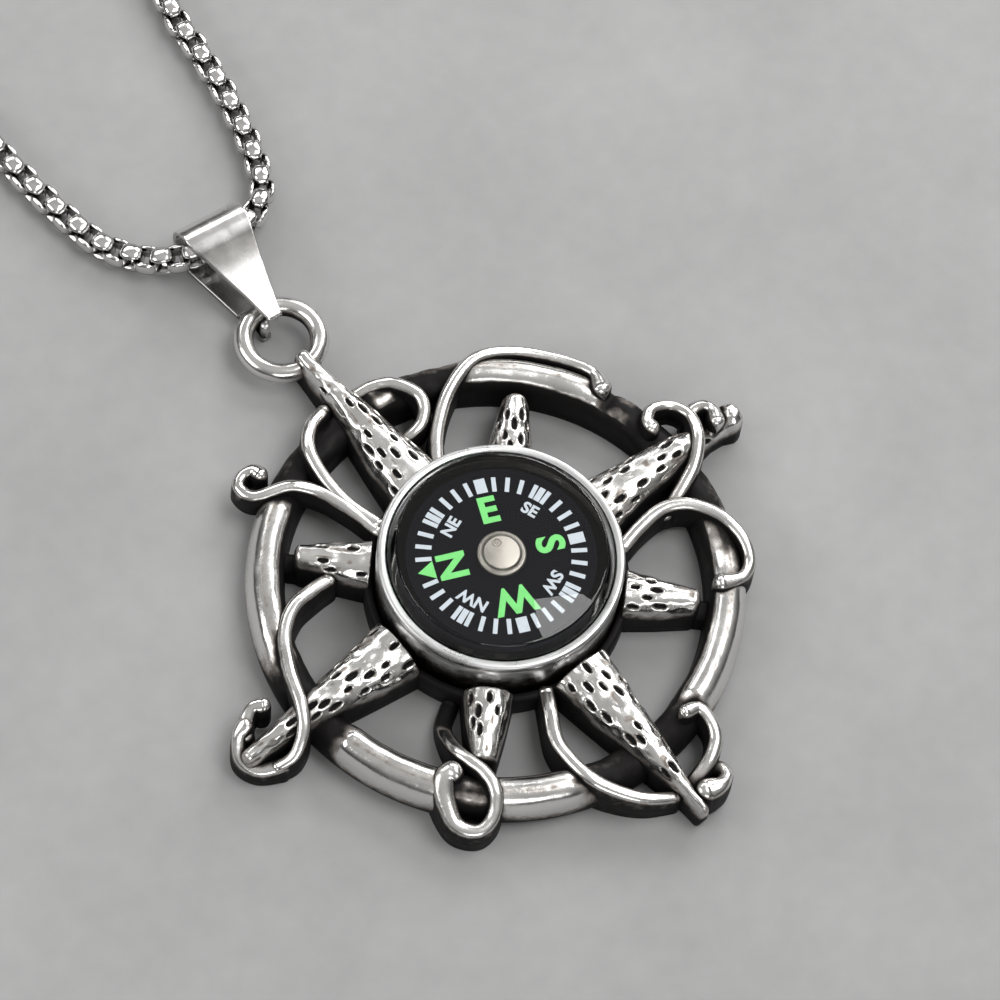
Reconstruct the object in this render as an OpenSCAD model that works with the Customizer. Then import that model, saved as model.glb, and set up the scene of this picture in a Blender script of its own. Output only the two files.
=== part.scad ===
/* [Node] */
// Node to build, or all

/* [Hoop] */
// Radius of the hoop's outer edge
hoop_r = 22.2; // [19:0.1:26]
// Width of the hoop's bar
hoop_w = 3.2; // [2.4:0.1:4]
// Height of the hoop
hoop_h = 4.4; // [3.4:0.1:5.4]

/* [Spokes] */
// Reach of a long spoke from the centre
spoke_reach = 28.4; // [26:0.1:31]
// Reach of a short spoke from the centre
stub_reach = 17.9; // [16:0.1:19]
// Width of a long spoke at the seat
spoke_w = 6.1; // [5:0.1:7]
// Width of a long spoke at its tip
spoke_tip_w = 1.4; // [1:0.1:2]
// Width of a short spoke at the seat
stub_w = 4.2; // [3:0.1:5]
// Width of a short spoke at its end
stub_tip_w = 2.7; // [2:0.1:3.4]
// Height of the spokes at the seat
spoke_h = 4.9; // [3.6:0.1:5.4]
// Height of a long spoke at its tip
spoke_tip_h = 3.3; // [2.8:0.1:4]

/* [Vines] */
// Width of a vine at its root
vine_root_w = 1.45; // [1:0.05:1.8]
// Width of a vine at its end
vine_tip_w = 1.15; // [0.8:0.05:1.3]
// Radius of the bulb that ends a curl
bulb_r = 0.8; // [0.6:0.05:1.1]

/* [Hanging loop] */
// Radius of the loop's centre line
loop_r = 3.6; // [3.3:0.1:4.4]
// Width of the loop's wire, seen from above
loop_wire_w = 1.6; // [1.2:0.05:1.9]
// Height of the loop's wire
loop_wire_h = 2.0; // [1.6:0.1:2.2]

/* [Compass] */
// Radius of the metal case
case_r = 11; // [10.2:0.1:11.8]
// Height of the metal case
case_h = 6.6; // [6.2:0.1:7.4]
// Wall of the metal case
case_wall = 0.8; // [0.5:0.05:1.1]
// Height of the crystal above the rim
lens_rise = 1.8; // [1.5:0.1:2.2]
// Thickness of the crystal at its middle
lens_t = 1.5; // [1.2:0.05:1.8]
// Wall of the crystal's skirt
lens_wall = 0.8; // [0.5:0.05:1.1]
// Height that the crystal's face curves up
dome_rise = 0.5; // [0.3:0.05:0.8]
// Thickness of the card
card_t = 0.5; // [0.3:0.05:0.7]
// Radius of the cap's flange
cap_r = 2.17; // [1.9:0.01:2.5]
// Radius of the hidden pin
pin_r = 0.35; // [0.3:0.01:0.45]

/* [Seat] */
// Thickness of the seat's floor
seat_t = 1.2; // [0.8:0.05:1.8]
// Wall of the seat's ring
seat_wall = 0.75; // [0.5:0.05:1.1]
// Height of the seat's ring above its floor
seat_h = 1.8; // [1.2:0.1:2.4]

/* [Bail] */
// Width of the bail at its fold
bail_w = 6.5; // [5.8:0.1:7.4]
// Width of the bail's front leaf at its tip
bail_tip_w = 1.4; // [1.2:0.1:1.8]
// Width of the bail's back leaf above the loop
bail_back_w = 3.6; // [3:0.1:4.2]
// Length of the bail from the loop's centre to the fold's middle
bail_len = 11.4; // [10.6:0.1:12.6]
// Thickness of the bail's strip
bail_t = 0.45; // [0.35:0.05:0.6]
// Radius inside the fold
fold_r = 2.3; // [2.2:0.05:2.6]
// Swing of the bail to its right, in degrees
bail_swing = 6.3; // [5:0.1:8]
// Radius of each prong
prong_r = 0.45; // [0.35:0.05:0.55]

/* [Chain] */
// Thickness of the chain
chain_d = 2.6; // [2.2:0.1:3]
// Length of the clasp
clasp_l = 12; // [10:0.5:14]

/* [Hidden] */

silver = [0.66, 0.65, 0.63];
steel = [0.74, 0.74, 0.75];
clear = [0.8, 0.9, 0.95, 0.4];
black = [0.06, 0.06, 0.07];
pale = [0.75, 0.75, 0.72];

// clearances and small sizes
seam = 0.1;
free_gap = 0.3;
pin_gap = 0.07;
thin = 0.01;
over = 1;
smooth = 72;

// seat and case
seat_r = case_r + 2 * seam + seat_wall;
case_z = seat_t + seam;
rim_z = case_z + case_h;
case_in_r = case_r - case_wall;
case_floor = 0.6;
floor_z = case_z + case_floor;
rim_bead = 0.28;
rim_groove = 0.12;
rim_step = 0.08;
rim_chamfer = 0.1;
groove_depth = 0.14;
foot_chamfer = 0.4;

// crystal, card and pin
lens_r = case_in_r - seam;
lens_foot_z = floor_z + seam;
lens_top_z = rim_z + lens_rise;
cavity_r = lens_r - lens_wall;
cavity_z = lens_top_z - lens_t;
bevel_w = 0.8;
face_r = lens_r - bevel_w;
dome_r = (face_r * face_r + dome_rise * dome_rise) / (2 * dome_rise);
dome_steps = 6;
card_gap = 0.9;
card_r = cavity_r - card_gap;
boss_h = 0.45;
flange_h = 0.4;
cap_top_z = cavity_z - free_gap;
card_top_z = cap_top_z - boss_h - flange_h - seam / 2;
boss_r = cap_r * 0.79;
hub_r = cap_r * 0.55;
hub_drop = 1;
hub_h = card_t + hub_drop;
pin_foot_r = 1.2;
pin_foot_h = 0.5;
pin_top_z = card_top_z - card_t - free_gap;

// sections of a long spoke as [share of its run, share of its width, share of its fall],
// for one that tapers to its tip and one that ends in a head
plain_sections = [
    [0, 1, 0], [0.24, 0.74, 0], [0.41, 0.53, 0.03], [0.58, 0.34, 0.12], [0.72, 0.21, 0.35], [1, 0, 1]
];
head_sections = [
    [0, 1, 0], [0.22, 0.71, 0], [0.41, 0.56, 0.02], [0.58, 0.37, 0.1], [0.68, 0.2, 0.45], [0.79, 0.04, 1.3],
    [0.87, 0.08, 1.15], [0.935, 0.27, 0.45], [1, 0.22, 0.5]
];

// spokes as [bearing in degrees, share of the reach], the long ones with their sections
long_spokes = [
    [90, 0.987, plain_sections], [-0.9, 1, head_sections], [-89.8, 1.005, plain_sections],
    [180, 1.005, plain_sections]
];
short_spokes = [[45.2, 1], [-45.8, 1], [-133.6, 0.99], [136.4, 1]];
spoke_in_r = case_r + 4 * seam;

// a spoke's upright wall and the web under a short spoke's end, as shares of the spoke's height
spoke_wall = 0.44;
spoke_draft = 0.06; // how far each side leans out at the foot, in mm
crown_steps = 8;
stub_fall = 0.93;
web_share = 0.43;
web_narrow = 0.8;
web_lap = 1.1;

// corners of the hoop's bar as [share of hoop_w inwards from its outer edge, share of its height]
hoop_corners = [
    [0.05, 0], [-0.08, 0.2], [-0.08, 0.5], [0.03, 0.77], [0.2, 0.93], [0.48, 1], [0.78, 0.93], [0.96, 0.72],
    [1.02, 0.3], [1.04, 0]
];

// height of the hoop round its turn as [bearing, share of hoop_h], lower where spokes and vines cross it
hoop_levels = [
    [-180, 0.72], [-173, 0.76], [-168, 1], [-112, 1], [-105, 0.8], [-99, 0.7], [-82, 0.7], [-76, 0.82],
    [-72, 1], [-36, 1], [-29, 0.9], [-22, 0.88], [-15, 0.74], [10, 0.72], [15, 0.84], [21, 0.8],
    [28, 1], [57, 1], [63, 0.82], [70, 0.74], [81, 0.9], [88, 0.72], [104, 0.66], [114, 0.74],
    [124, 1], [158, 1], [166, 0.86], [173, 0.74], [180, 0.72]
];
hoop_turns = 83;

// vine routes as [share of hoop_r, bearing, crest as a share of hoop_h]
crown_vine = [
    [0.53, 78, 0.9], [0.68, 72, 0.95], [0.84, 64.5, 1.05], [0.975, 56.3, 1.08],
    [1.025, 47, 0.95], [1.03, 36, 0.92], [1.015, 28, 1], [0.955, 24, 1.1]
];
north_vine = [
    [0.99, 87.5, 0.85], [0.985, 82.5, 0.95], [0.95, 78, 1.08], [0.87, 73.3, 1.08],
    [0.8, 72.8, 1.05], [0.74, 75.6, 1], [0.715, 80, 0.95], [0.71, 84.5, 0.85]
];
arch_vine = [
    [1.02, 95, 0.8], [1, 100.5, 0.95], [0.93, 106.4, 1.08],
    [0.81, 111, 1.05], [0.67, 114.5, 0.95], [0.53, 116.5, 0.9]
];
curl_vine = [
    [0.52, 119.5, 0.86], [0.66, 116.2, 0.95], [0.8, 115.4, 1], [0.915, 117.8, 1.08], [1.03, 123, 1],
    [1.105, 122, 0.95], [1.115, 119.4, 0.95], [1.088, 117.5, 0.98], [1.052, 117.6, 1]
];
west_vine = [
    [0.68, 143.5, 0.85], [0.75, 147.7, 0.95], [0.835, 152.8, 1.05], [0.9, 160, 1.08],
    [0.94, 169, 1.12], [0.985, 178.5, 1.2], [1.04, 183.3, 1.08], [1.12, 185.3, 0.8], [1.19, 184.3, 0.6]
];
west_tail = [
    [1.17, 184.7, 0.6], [1.25, 182.3, 0.5], [1.28, 179, 0.6],
    [1.25, 176.2, 0.85], [1.21, 175.2, 0.95]
];
west_hook = [
    [1.215, 176.3, 0.8], [1.185, 174.1, 0.95], [1.145, 172.9, 1], [1.105, 173.5, 1]
];
loop_vine = [
    [0.55, -149, 0.5], [0.68, -148, 0.6], [0.79, -141, 0.95], [0.86, -133.5, 1.08],
    [0.945, -129.6, 1.08], [1.04, -129.8, 0.85], [1.105, -133, 0.75], [1.085, -138.5, 0.75],
    [0.985, -142.4, 0.92], [0.915, -143.9, 1.08], [0.885, -142.1, 1.1]
];
south_vine = [
    [0.53, -108, 0.8], [0.62, -110, 0.9], [0.745, -111.6, 0.95], [0.85, -110, 1.05],
    [0.95, -107, 1.08], [1.03, -102.5, 0.95], [1.1, -97.5, 0.8], [1.15, -92, 0.65]
];
hook_vine = [
    [1.15, -88, 0.65], [1.135, -82.5, 0.85], [1.1, -78, 0.9],
    [1.045, -75.6, 0.97], [0.975, -74.9, 1.05], [0.945, -77.8, 1.08]
];
south_tail = [
    [1.135, -82.5, 0.6], [1.18, -81.2, 0.65], [1.22, -81.8, 0.75], [1.235, -84.2, 0.85], [1.215, -86.8, 0.85]
];
east_vine = [
    [0.53, -23, 0.8], [0.62, -17.5, 0.9], [0.74, -14.4, 1], [0.85, -16.4, 1.05], [0.95, -22.2, 1.08],
    [1.01, -28.5, 1.05], [1.025, -34, 1], [0.99, -38.5, 1.05], [0.905, -40.7, 1.1]
];
over_vine = [
    [0.76, -15.2, 0.8], [0.87, -10.3, 0.95], [0.96, -6.6, 1.05], [1.04, -1.8, 1.12],
    [1.09, 3.8, 1], [1.07, 8.3, 0.95], [1, 10.7, 1.05], [0.94, 9.6, 1.08], [0.925, 7.2, 1.08]
];
east_tail = [
    [1.085, 3.5, 0.8], [1.135, 4.7, 0.8], [1.18, 3.9, 0.85], [1.19, 1.8, 0.9], [1.165, -0.5, 0.95]
];

// every vine as [route, foot as a share of hoop_h, radius of its end as a share of bulb_r, or 0]
vines = [
    [crown_vine, 0.25, 1.2], [north_vine, 0.3, 0], [arch_vine, 0.25, 0], [curl_vine, 0.35, 1],
    [west_vine, 0, 0], [west_tail, 0.02, 1], [west_hook, 0.25, 1], [loop_vine, 0, 1.25],
    [south_vine, 0, 0], [hook_vine, 0.15, 0.85], [south_tail, 0.15, 1.4], [east_vine, 0.2, 1.2],
    [over_vine, 0.3, 0.9], [east_tail, 0.2, 1.05]
];

// half of a vine's section as [share of its width, drop below the crest as a share of its width]
vine_half = [[0.5, 0.42], [0.31, 0.12], [0, 0]];
vine_steps = 3;
root_narrow = 0.74; // a vine's first ring as a share of its width, so that it starts inside what it leaves

// discs of a bulb as [share of its radius, share of its height, shares of bulb_r upwards]
bulb_rows = [[0.8, 0, 0], [1, 0, 0.37], [1, 1, -0.62], [0.7, 1, -0.13], [0.3, 1, 0.1]];
bulb_sides = 13;

// hanging loop
tip_north = spoke_reach * long_spokes[0][1];
loop_y = tip_north + loop_r - loop_wire_w / 4;
loop_z = spoke_tip_h - loop_wire_h / 2 - free_gap;
loop_sides = 10;
loop_turns = 40;

// bail, with y measured from the loop's centre
back_z = 0.15;
fold_out_r = fold_r + bail_t;
fold_z = back_z + fold_out_r;
leaf_tip_y = loop_r - loop_wire_w / 2 - prong_r * 2.9;
leaf_tip_z = loop_z + loop_wire_h / 2 + free_gap;
tip_shift = 0.25;
tongue_w = prong_r * 2.6;
tongue_y = loop_r + loop_wire_w / 2 + free_gap;
tongue_shift = -0.6;
neck_run = 1;
neck_flare = 1.1;
leaf_bow = [0.3, 0.26]; // share of the leaf's length and of its widening
prong_y = leaf_tip_y + prong_r;

// chain route as [x, y from the hanging loop's centre, height above its resting line],
// from the clasp down through the bail and back
clasp_x = 2.5;
clasp_y = 267.8;
chain_route = [
    [clasp_x - clasp_l / 2 - free_gap, clasp_y, 0],
    [-17, 264.8, 0], [-32, 252.8, 0], [-45, 233.8, 0], [-53, 209.3, 0], [-55.5, 182.8, 0], [-53, 154.8, 0],
    [-47, 127.3, 0], [-38, 100.8, 0], [-27, 75.8, 0], [-16, 54.3, 0], [-9.2, 38.8, 0], [-8.6, 31.2, 0],
    [-8.3, 26.3, 0], [-7.6, 20.8, 0], [-6.9, 18, 0], [-5.1, 14.8, 0.35], [-3, 12.7, 0.95], [-0.6, 11.6, 1.3],
    [2.2, 11.4, 1.35], [5.3, 11.7, 1.15], [7.4, 12.8, 0.7], [9.1, 14.7, 0.25], [10.6, 18.2, 0],
    [11.6, 21.5, 0], [12.5, 25.1, 0], [13.3, 30, 0], [14.4, 36.6, 0], [19.5, 51.3, 0], [31, 73.8, 0],
    [42, 98.8, 0], [52, 125.3, 0], [58.5, 152.8, 0], [60.5, 181.3, 0], [57.5, 208.8, 0], [49.5, 232.8, 0],
    [37, 251.8, 0], [22, 264.8, 0], [clasp_x + clasp_l / 2 + free_gap, clasp_y, 0]
];
chain_steps = 2;
chain_sides = 10;
chain_rest_z = chain_d / 2 + seam / 2;

// clasp
clasp_w = 4.6;
clasp_h = 2.6;
eye_r = 1.5;
eye_wire = 0.5;

function rise_between(a, b, share) = a + (b - a) * share;

// a point on the smooth curve from b to c, with neighbours a and d
function curve(a, b, c, d, t) =
    0.5 * (2 * b + (c - a) * t + (2 * a - 5 * b + 4 * c - d) * t * t + (3 * b - a - 3 * c + d) * t * t * t);

// a smooth line through a list of points
function smooth_line(pts, steps) =
    let (n = len(pts))
    concat(
        [
            for (i = [0:n - 2], s = [0:steps - 1])
            curve(pts[max(i - 1, 0)], pts[i], pts[i + 1], pts[min(i + 2, n - 1)], s / steps)
        ],
        [pts[n - 1]]
    );

// the level direction of a line at point i
function heading(line, i) =
    let (n = len(line), a = line[max(i - 1, 0)], b = line[min(i + 1, n - 1)])
    atan2(b[1] - a[1], b[0] - a[0]);

function vine_point(row) = [row[0] * hoop_r * cos(row[1]), row[0] * hoop_r * sin(row[1]), row[2] * hoop_h];

// one upright ring of a vine's section
function vine_ring(p, turn, w, foot) =
    let (side = [-sin(turn), cos(turn)], half = len(vine_half))
    concat(
        [[p[0] - side[0] * w / 2, p[1] - side[1] * w / 2, foot]],
        [for (h = vine_half) [p[0] - side[0] * h[0] * w, p[1] - side[1] * h[0] * w, p[2] - h[1] * w]],
        [
            for (k = [half - 2:-1:0])
            let (h = vine_half[k])
            [p[0] + side[0] * h[0] * w, p[1] + side[1] * h[0] * w, p[2] - h[1] * w]
        ],
        [[p[0] + side[0] * w / 2, p[1] + side[1] * w / 2, foot]]
    );

// one round ring across a line
function tube_ring(p, turn, r, sides) = [
    for (k = [0:sides - 1])
    let (a = 360 * k / sides)
    [p[0] + sin(turn) * r * cos(a), p[1] - cos(turn) * r * cos(a), p[2] + r * sin(a)]
];

// a closed skin over rings of n points each
module skin(rings, n) {
    count = len(rings);
    points = [for (ring = rings, p = ring) p];
    sides = [
        for (i = [0:count - 2], k = [0:n - 1])
        let (a = i * n + k, b = i * n + (k + 1) % n)
        each [[a, b, a + n], [b, b + n, a + n]]
    ];
    first = [for (k = [n - 1:-1:0]) k];
    last = [for (k = [0:n - 1]) (count - 1) * n + k];
    polyhedron(points = points, faces = concat(sides, [first], [last]), convexity = 10);
}

// a closed skin over rings of n points that run all the way round
module hoop_skin(rings, n) {
    count = len(rings);
    points = [for (ring = rings, p = ring) p];
    faces = [
        for (i = [0:count - 1], k = [0:n - 1])
        let (a = i * n, b = (i + 1) % count * n, m = (k + 1) % n)
        each [[a + k, a + m, b + k], [a + m, b + m, b + k]]
    ];
    polyhedron(points = points, faces = faces, convexity = 10);
}

// one vine, standing on its foot, with its bulb
module vine(route, foot_share, bulb) {
    foot = foot_share * hoop_h;
    line = smooth_line([for (row = route) vine_point(row)], vine_steps);
    last = len(line) - 1;
    n = 2 * len(vine_half) + 1;
    rings = [
        for (i = [0:last])
        let (w = rise_between(vine_root_w, vine_tip_w, i / last))
        vine_ring(line[i], heading(line, i), i == 0 ? w * root_narrow : w, foot)
    ];
    skin(rings, n);
    if (bulb > 0) {
        end = line[last];
        translate([end[0], end[1], foot])
            bulb_end(bulb_r * bulb, end[2] - foot);
    }
}

// the thickened end of a vine, rounded on top
module bulb_end(r, tall) {
    hull()
        for (row = bulb_rows)
            translate([0, 0, row[1] * tall + row[2] * bulb_r])
            cylinder(h = thin, r = row[0] * r, $fn = bulb_sides);
}

// an upright ring of a spoke's section, given as [reach, width, height]
function spoke_ring(s) =
    let (wall = s[2] * spoke_wall, foot = s[1] / 2 + spoke_draft)
    concat(
        [[s[0], foot, 0], [s[0], -foot, 0]],
        [
            for (k = [crown_steps:-1:0])
            let (a = 180 * k / crown_steps)
            [s[0], s[1] / 2 * cos(a), wall + (s[2] - wall) * sin(a)]
        ]
    );

// a spoke through its sections, each given as [reach, width, height]
module spoke(cuts) {
    skin([for (s = cuts) spoke_ring(s)], crown_steps + 3);
}

module long_spoke(reach, sections) {
    spoke([
        for (s = sections)
        [
            rise_between(spoke_in_r, reach, s[0]),
            rise_between(spoke_tip_w, spoke_w, s[1]),
            rise_between(spoke_h, spoke_tip_h, s[2])
        ]
    ]);
}

module short_spoke(reach) {
    web_h = spoke_h * web_share;
    web_w = stub_tip_w * web_narrow;
    spoke([[spoke_in_r, stub_w, spoke_h], [reach, stub_tip_w, spoke_h * stub_fall]]);
    spoke([[reach - web_lap, web_w, web_h], [hoop_r - hoop_w / 2, web_w, web_h]]);
}

module hoop() {
    rings = [
        for (i = [0:hoop_turns - 1])
        let (turn = 360 * i / hoop_turns - 180, h = hoop_h * lookup(turn, hoop_levels))
        [
            for (c = hoop_corners)
            let (r = hoop_r - c[0] * hoop_w)
            [r * cos(turn), r * sin(turn), c[1] * h]
        ]
    ];
    hoop_skin(rings, len(hoop_corners));
}

module seat() {
    rotate_extrude($fn = smooth)
        polygon([
            [0, 0], [seat_r, 0], [seat_r, seat_t + seat_h], [seat_r - seat_wall, seat_t + seat_h],
            [seat_r - seat_wall, seat_t], [0, seat_t]
        ]);
}

module hanging_loop() {
    translate([0, loop_y, loop_z])
        rotate_extrude($fn = loop_turns)
        translate([loop_r, 0])
        polygon([
            for (k = [0:loop_sides - 1])
            let (a = 360 * k / loop_sides)
            [loop_wire_w / 2 * cos(a), loop_wire_h / 2 * sin(a)]
        ]);
}

module casting() {
    color(silver)
        union() {
            hoop();
            seat();
            hanging_loop();
            for (s = long_spokes)
                rotate([0, 0, s[0]])
                long_spoke(spoke_reach * s[1], s[2]);
            for (s = short_spokes)
                rotate([0, 0, s[0]])
                short_spoke(stub_reach * s[1]);
            for (v = vines)
                vine(v[0], v[1], v[2]);
        }
}

module compass_case() {
    bead_z = rim_z - rim_step;
    groove_r = case_r - rim_bead;
    band_r = groove_r - rim_groove;
    color(steel)
        rotate_extrude($fn = smooth)
        polygon([
            [0, case_z], [case_r - foot_chamfer, case_z], [case_r, case_z + foot_chamfer],
            [case_r, bead_z - rim_chamfer * 1.5], [case_r - rim_chamfer, bead_z], [groove_r, bead_z],
            [groove_r, bead_z - groove_depth], [band_r, bead_z - groove_depth], [band_r, rim_z],
            [case_in_r + rim_chamfer, rim_z], [case_in_r, rim_z - rim_chamfer],
            [case_in_r, floor_z], [0, floor_z]
        ]);
}

module compass_lens() {
    dome = [
        for (k = [dome_steps:-1:0])
        let (r = face_r * k / dome_steps)
        [r, lens_top_z - dome_r + sqrt(dome_r * dome_r - r * r)]
    ];
    color(clear)
        difference() {
            rotate_extrude($fn = smooth)
                polygon(concat([[0, lens_foot_z], [lens_r, lens_foot_z], [lens_r, rim_z]], dome));
            translate([0, 0, lens_foot_z - over])
                cylinder(h = cavity_z - lens_foot_z + over, r = cavity_r, $fn = smooth);
        }
}

module compass_card() {
    color(black)
        translate([0, 0, card_top_z - card_t])
        difference() {
            cylinder(h = card_t, r = card_r, $fn = smooth);
            translate([0, 0, -over])
                cylinder(h = card_t + 2 * over, r = hub_r + seam / 2, $fn = smooth);
        }
}

module card_cap() {
    flange_z = card_top_z + seam / 2;
    color(pale)
        difference() {
            union() {
                translate([0, 0, flange_z])
                    cylinder(h = flange_h, r = cap_r, $fn = smooth);
                translate([0, 0, flange_z])
                    cylinder(h = flange_h + boss_h, r = boss_r, $fn = smooth);
                translate([0, 0, card_top_z - hub_h])
                    cylinder(h = hub_h + seam, r = hub_r, $fn = smooth);
            }
            translate([0, 0, card_top_z - hub_h - over])
                cylinder(h = hub_drop + over, r = pin_r + pin_gap, $fn = smooth);
        }
}

module pivot_pin() {
    color(steel)
        union() {
            translate([0, 0, floor_z + seam])
                cylinder(h = pin_foot_h, r = pin_foot_r, $fn = smooth);
            translate([0, 0, floor_z + seam])
                cylinder(h = pin_top_z - floor_z - seam, r = pin_r, $fn = smooth);
        }
}

// the strip seen from its side, as [y, z]
module bail_side() {
    top_in = fold_z + fold_r;
    slope = (top_in - leaf_tip_z) / (bail_len - leaf_tip_y);
    difference() {
        union() {
            translate([bail_len, fold_z])
                circle(r = fold_out_r, $fn = smooth);
            polygon([
                [bail_len, fold_z + fold_out_r], [leaf_tip_y, leaf_tip_z + bail_t],
                [leaf_tip_y, back_z], [bail_len, back_z]
            ]);
        }
        translate([bail_len, fold_z])
            circle(r = fold_r, $fn = smooth);
        polygon([
            [bail_len, top_in], [leaf_tip_y - over, leaf_tip_z - over * slope],
            [leaf_tip_y - over, back_z + bail_t], [bail_len, back_z + bail_t]
        ]);
    }
}

// a leaf seen from above, from its tip to past the fold
module bail_plan(tip_x, tip_y, tip_w, neck_y, neck_w) {
    end_y = bail_len + fold_out_r + over;
    polygon([
        [tip_x - tip_w / 2, tip_y], [tip_x + tip_w / 2, tip_y], [tip_x / 2 + neck_w / 2, neck_y],
        [bail_w / 2, bail_len], [bail_w / 2, end_y], [-bail_w / 2, end_y], [-bail_w / 2, bail_len],
        [tip_x / 2 - neck_w / 2, neck_y]
    ]);
}

module bail_leaf(z, h) {
    intersection() {
        rotate([90, 0, 90])
            linear_extrude(height = bail_w, center = true)
            bail_side();
        translate([0, 0, z])
            linear_extrude(h)
            children();
    }
}

module bail() {
    front_neck_y = rise_between(leaf_tip_y, bail_len, leaf_bow[0]);
    front_w = rise_between(bail_tip_w, bail_w, leaf_bow[1]);
    front_z = leaf_tip_z + bail_t / 2;
    strip_z = back_z + bail_t / 2;
    back_end_z = loop_z + loop_wire_h / 4;
    color(steel)
        translate([0, loop_y, 0])
        rotate([0, 0, -bail_swing])
        union() {
            bail_leaf(fold_z, fold_out_r + over)
                bail_plan(tip_shift, leaf_tip_y, bail_tip_w, front_neck_y, front_w);
            bail_leaf(back_z - over, fold_z - back_z + over)
                bail_plan(0, tongue_y, bail_back_w, tongue_y + neck_run, bail_back_w * neck_flare);
            translate([tongue_shift - tongue_w / 2, leaf_tip_y, back_z])
                cube([tongue_w, tongue_y + neck_run - leaf_tip_y, bail_t]);
            translate([tip_shift, prong_y, back_end_z])
                cylinder(h = front_z - back_end_z, r = prong_r, $fn = smooth);
            translate([tongue_shift, prong_y, strip_z])
                cylinder(h = back_end_z - strip_z, r = prong_r, $fn = smooth);
        }
}

module chain() {
    line = smooth_line([for (p = chain_route) [p[0], loop_y + p[1], p[2] + chain_rest_z]], chain_steps);
    rings = [
        for (i = [0:len(line) - 1])
        tube_ring(line[i], heading(line, i), chain_d / 2, chain_sides)
    ];
    color(steel)
        skin(rings, chain_sides);
}

module clasp() {
    body_l = clasp_l - 4 * eye_r + eye_wire * 1.2;
    color(steel)
        translate([clasp_x, loop_y + clasp_y, chain_rest_z])
        difference() {
            union() {
                translate([0, 0, -clasp_h / 2])
                    cylinder(h = clasp_h, r = clasp_w / 2, $fn = smooth);
                translate([-body_l / 2, -clasp_w / 4, -clasp_h / 2])
                    cube([body_l, clasp_w / 2, clasp_h]);
                for (side = [-1, 1])
                    translate([side * (clasp_l / 2 - eye_r), 0, -clasp_h / 4])
                    cylinder(h = clasp_h / 2, r = eye_r, $fn = smooth);
            }
            for (side = [-1, 1])
                translate([side * (clasp_l / 2 - eye_r), 0, -clasp_h])
                cylinder(h = clasp_h * 2, r = eye_r - eye_wire, $fn = smooth);
        }
}

casting();
compass_case();
compass_lens();
compass_card();
card_cap();
pivot_pin();
bail();
chain();
clasp();
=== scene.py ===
import math

import bmesh
import bpy
import numpy as np
from bpy.props import FloatProperty, FloatVectorProperty, PointerProperty
from mathutils import Matrix, Vector


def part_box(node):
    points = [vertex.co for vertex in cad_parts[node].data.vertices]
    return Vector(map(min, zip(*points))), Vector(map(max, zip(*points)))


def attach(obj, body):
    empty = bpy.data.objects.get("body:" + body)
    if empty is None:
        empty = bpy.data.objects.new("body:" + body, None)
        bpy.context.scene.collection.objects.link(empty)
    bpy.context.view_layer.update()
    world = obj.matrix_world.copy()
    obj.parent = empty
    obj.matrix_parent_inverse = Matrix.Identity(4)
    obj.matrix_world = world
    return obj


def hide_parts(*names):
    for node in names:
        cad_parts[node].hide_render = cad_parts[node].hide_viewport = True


bl_info = {
    "name": "Compass pendant",
    "version": (1, 0, 0),
    "blender": (4, 5, 0),
    "location": "View3D > Sidebar > Compass pendant",
    "description": "Dresses the frame of a ship's wheel pendant with a compass, on its chain",
    "category": "Object",
}

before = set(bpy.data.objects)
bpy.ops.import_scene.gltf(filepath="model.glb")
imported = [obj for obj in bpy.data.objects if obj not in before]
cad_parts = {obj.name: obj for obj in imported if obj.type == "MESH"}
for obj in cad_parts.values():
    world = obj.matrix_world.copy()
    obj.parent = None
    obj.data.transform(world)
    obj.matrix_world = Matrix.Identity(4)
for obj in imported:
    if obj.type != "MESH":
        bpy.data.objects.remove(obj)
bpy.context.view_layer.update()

MM = 0.001
ROOT = "pendant"
DIAL = "dial"
FINISH = "_finish"  # keeps these materials apart from the frame's own
TWO_PI = 2 * math.pi
QUARTER = math.pi / 2
SCATTER = 43758.5453  # so large that the last digits of a sine look random


def half_width(node):
    """Half of a node's width across the compass, from the frame."""
    low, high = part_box(node)
    return (high[0] - low[0]) / 2


CASE_R = half_width("compass_case")
LENS_R = half_width("compass_lens")
CAP_R = half_width("card_cap")
CASE_LOW, RIM_Z = (corner[2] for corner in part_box("compass_case"))
LENS_LOW, LENS_TOP = (corner[2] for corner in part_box("compass_lens"))
CARD_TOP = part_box("compass_card")[1][2]
CAP_LOW, CAP_TOP = (corner[2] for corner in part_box("card_cap"))


def length(name, about, size):
    """A length that a user can change, with its default in mm."""
    return FloatProperty(name=name, description=about, default=size * MM, unit="LENGTH")


def tint(name, about, colour):
    """A colour that a user can change."""
    return FloatVectorProperty(
        name=name, description=about, default=colour, subtype="COLOR", size=3, min=0, max=1)


class WheelSizes(bpy.types.PropertyGroup):
    """Sizes of the cast wheel, its spokes and its vines"""

    hoop_radius: length("Hoop radius", "Outer radius of the hoop's face", 22.2)
    hoop_width: length("Hoop width", "Width of the hoop's face", 3.2)
    hoop_height: length("Hoop height", "Height of the hoop, which the vines' crests follow", 4.4)
    spoke_reach: length("Spoke reach", "Reach of a long spoke from the centre", 28.4)
    stub_reach: length("Short spoke reach", "Reach of a short spoke from the centre", 17.9)
    spoke_height: length("Spoke height", "Height of the spokes at the seat", 4.9)
    tip_height: length("Tip height", "Height of a long spoke at its tip", 3.3)
    vine_root: length("Vine root width", "Width of a vine where it starts", 1.45)
    vine_tip: length("Vine tip width", "Width of a vine where it ends", 1.15)
    pit_depth: length("Pit depth", "Depth of the pits cast into the spokes", 0.34)
    loop_radius: length("Loop radius", "Radius of the hanging loop's centre line", 3.6)
    loop_wire: length("Loop wire", "Width of the hanging loop's wire", 1.6)


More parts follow.
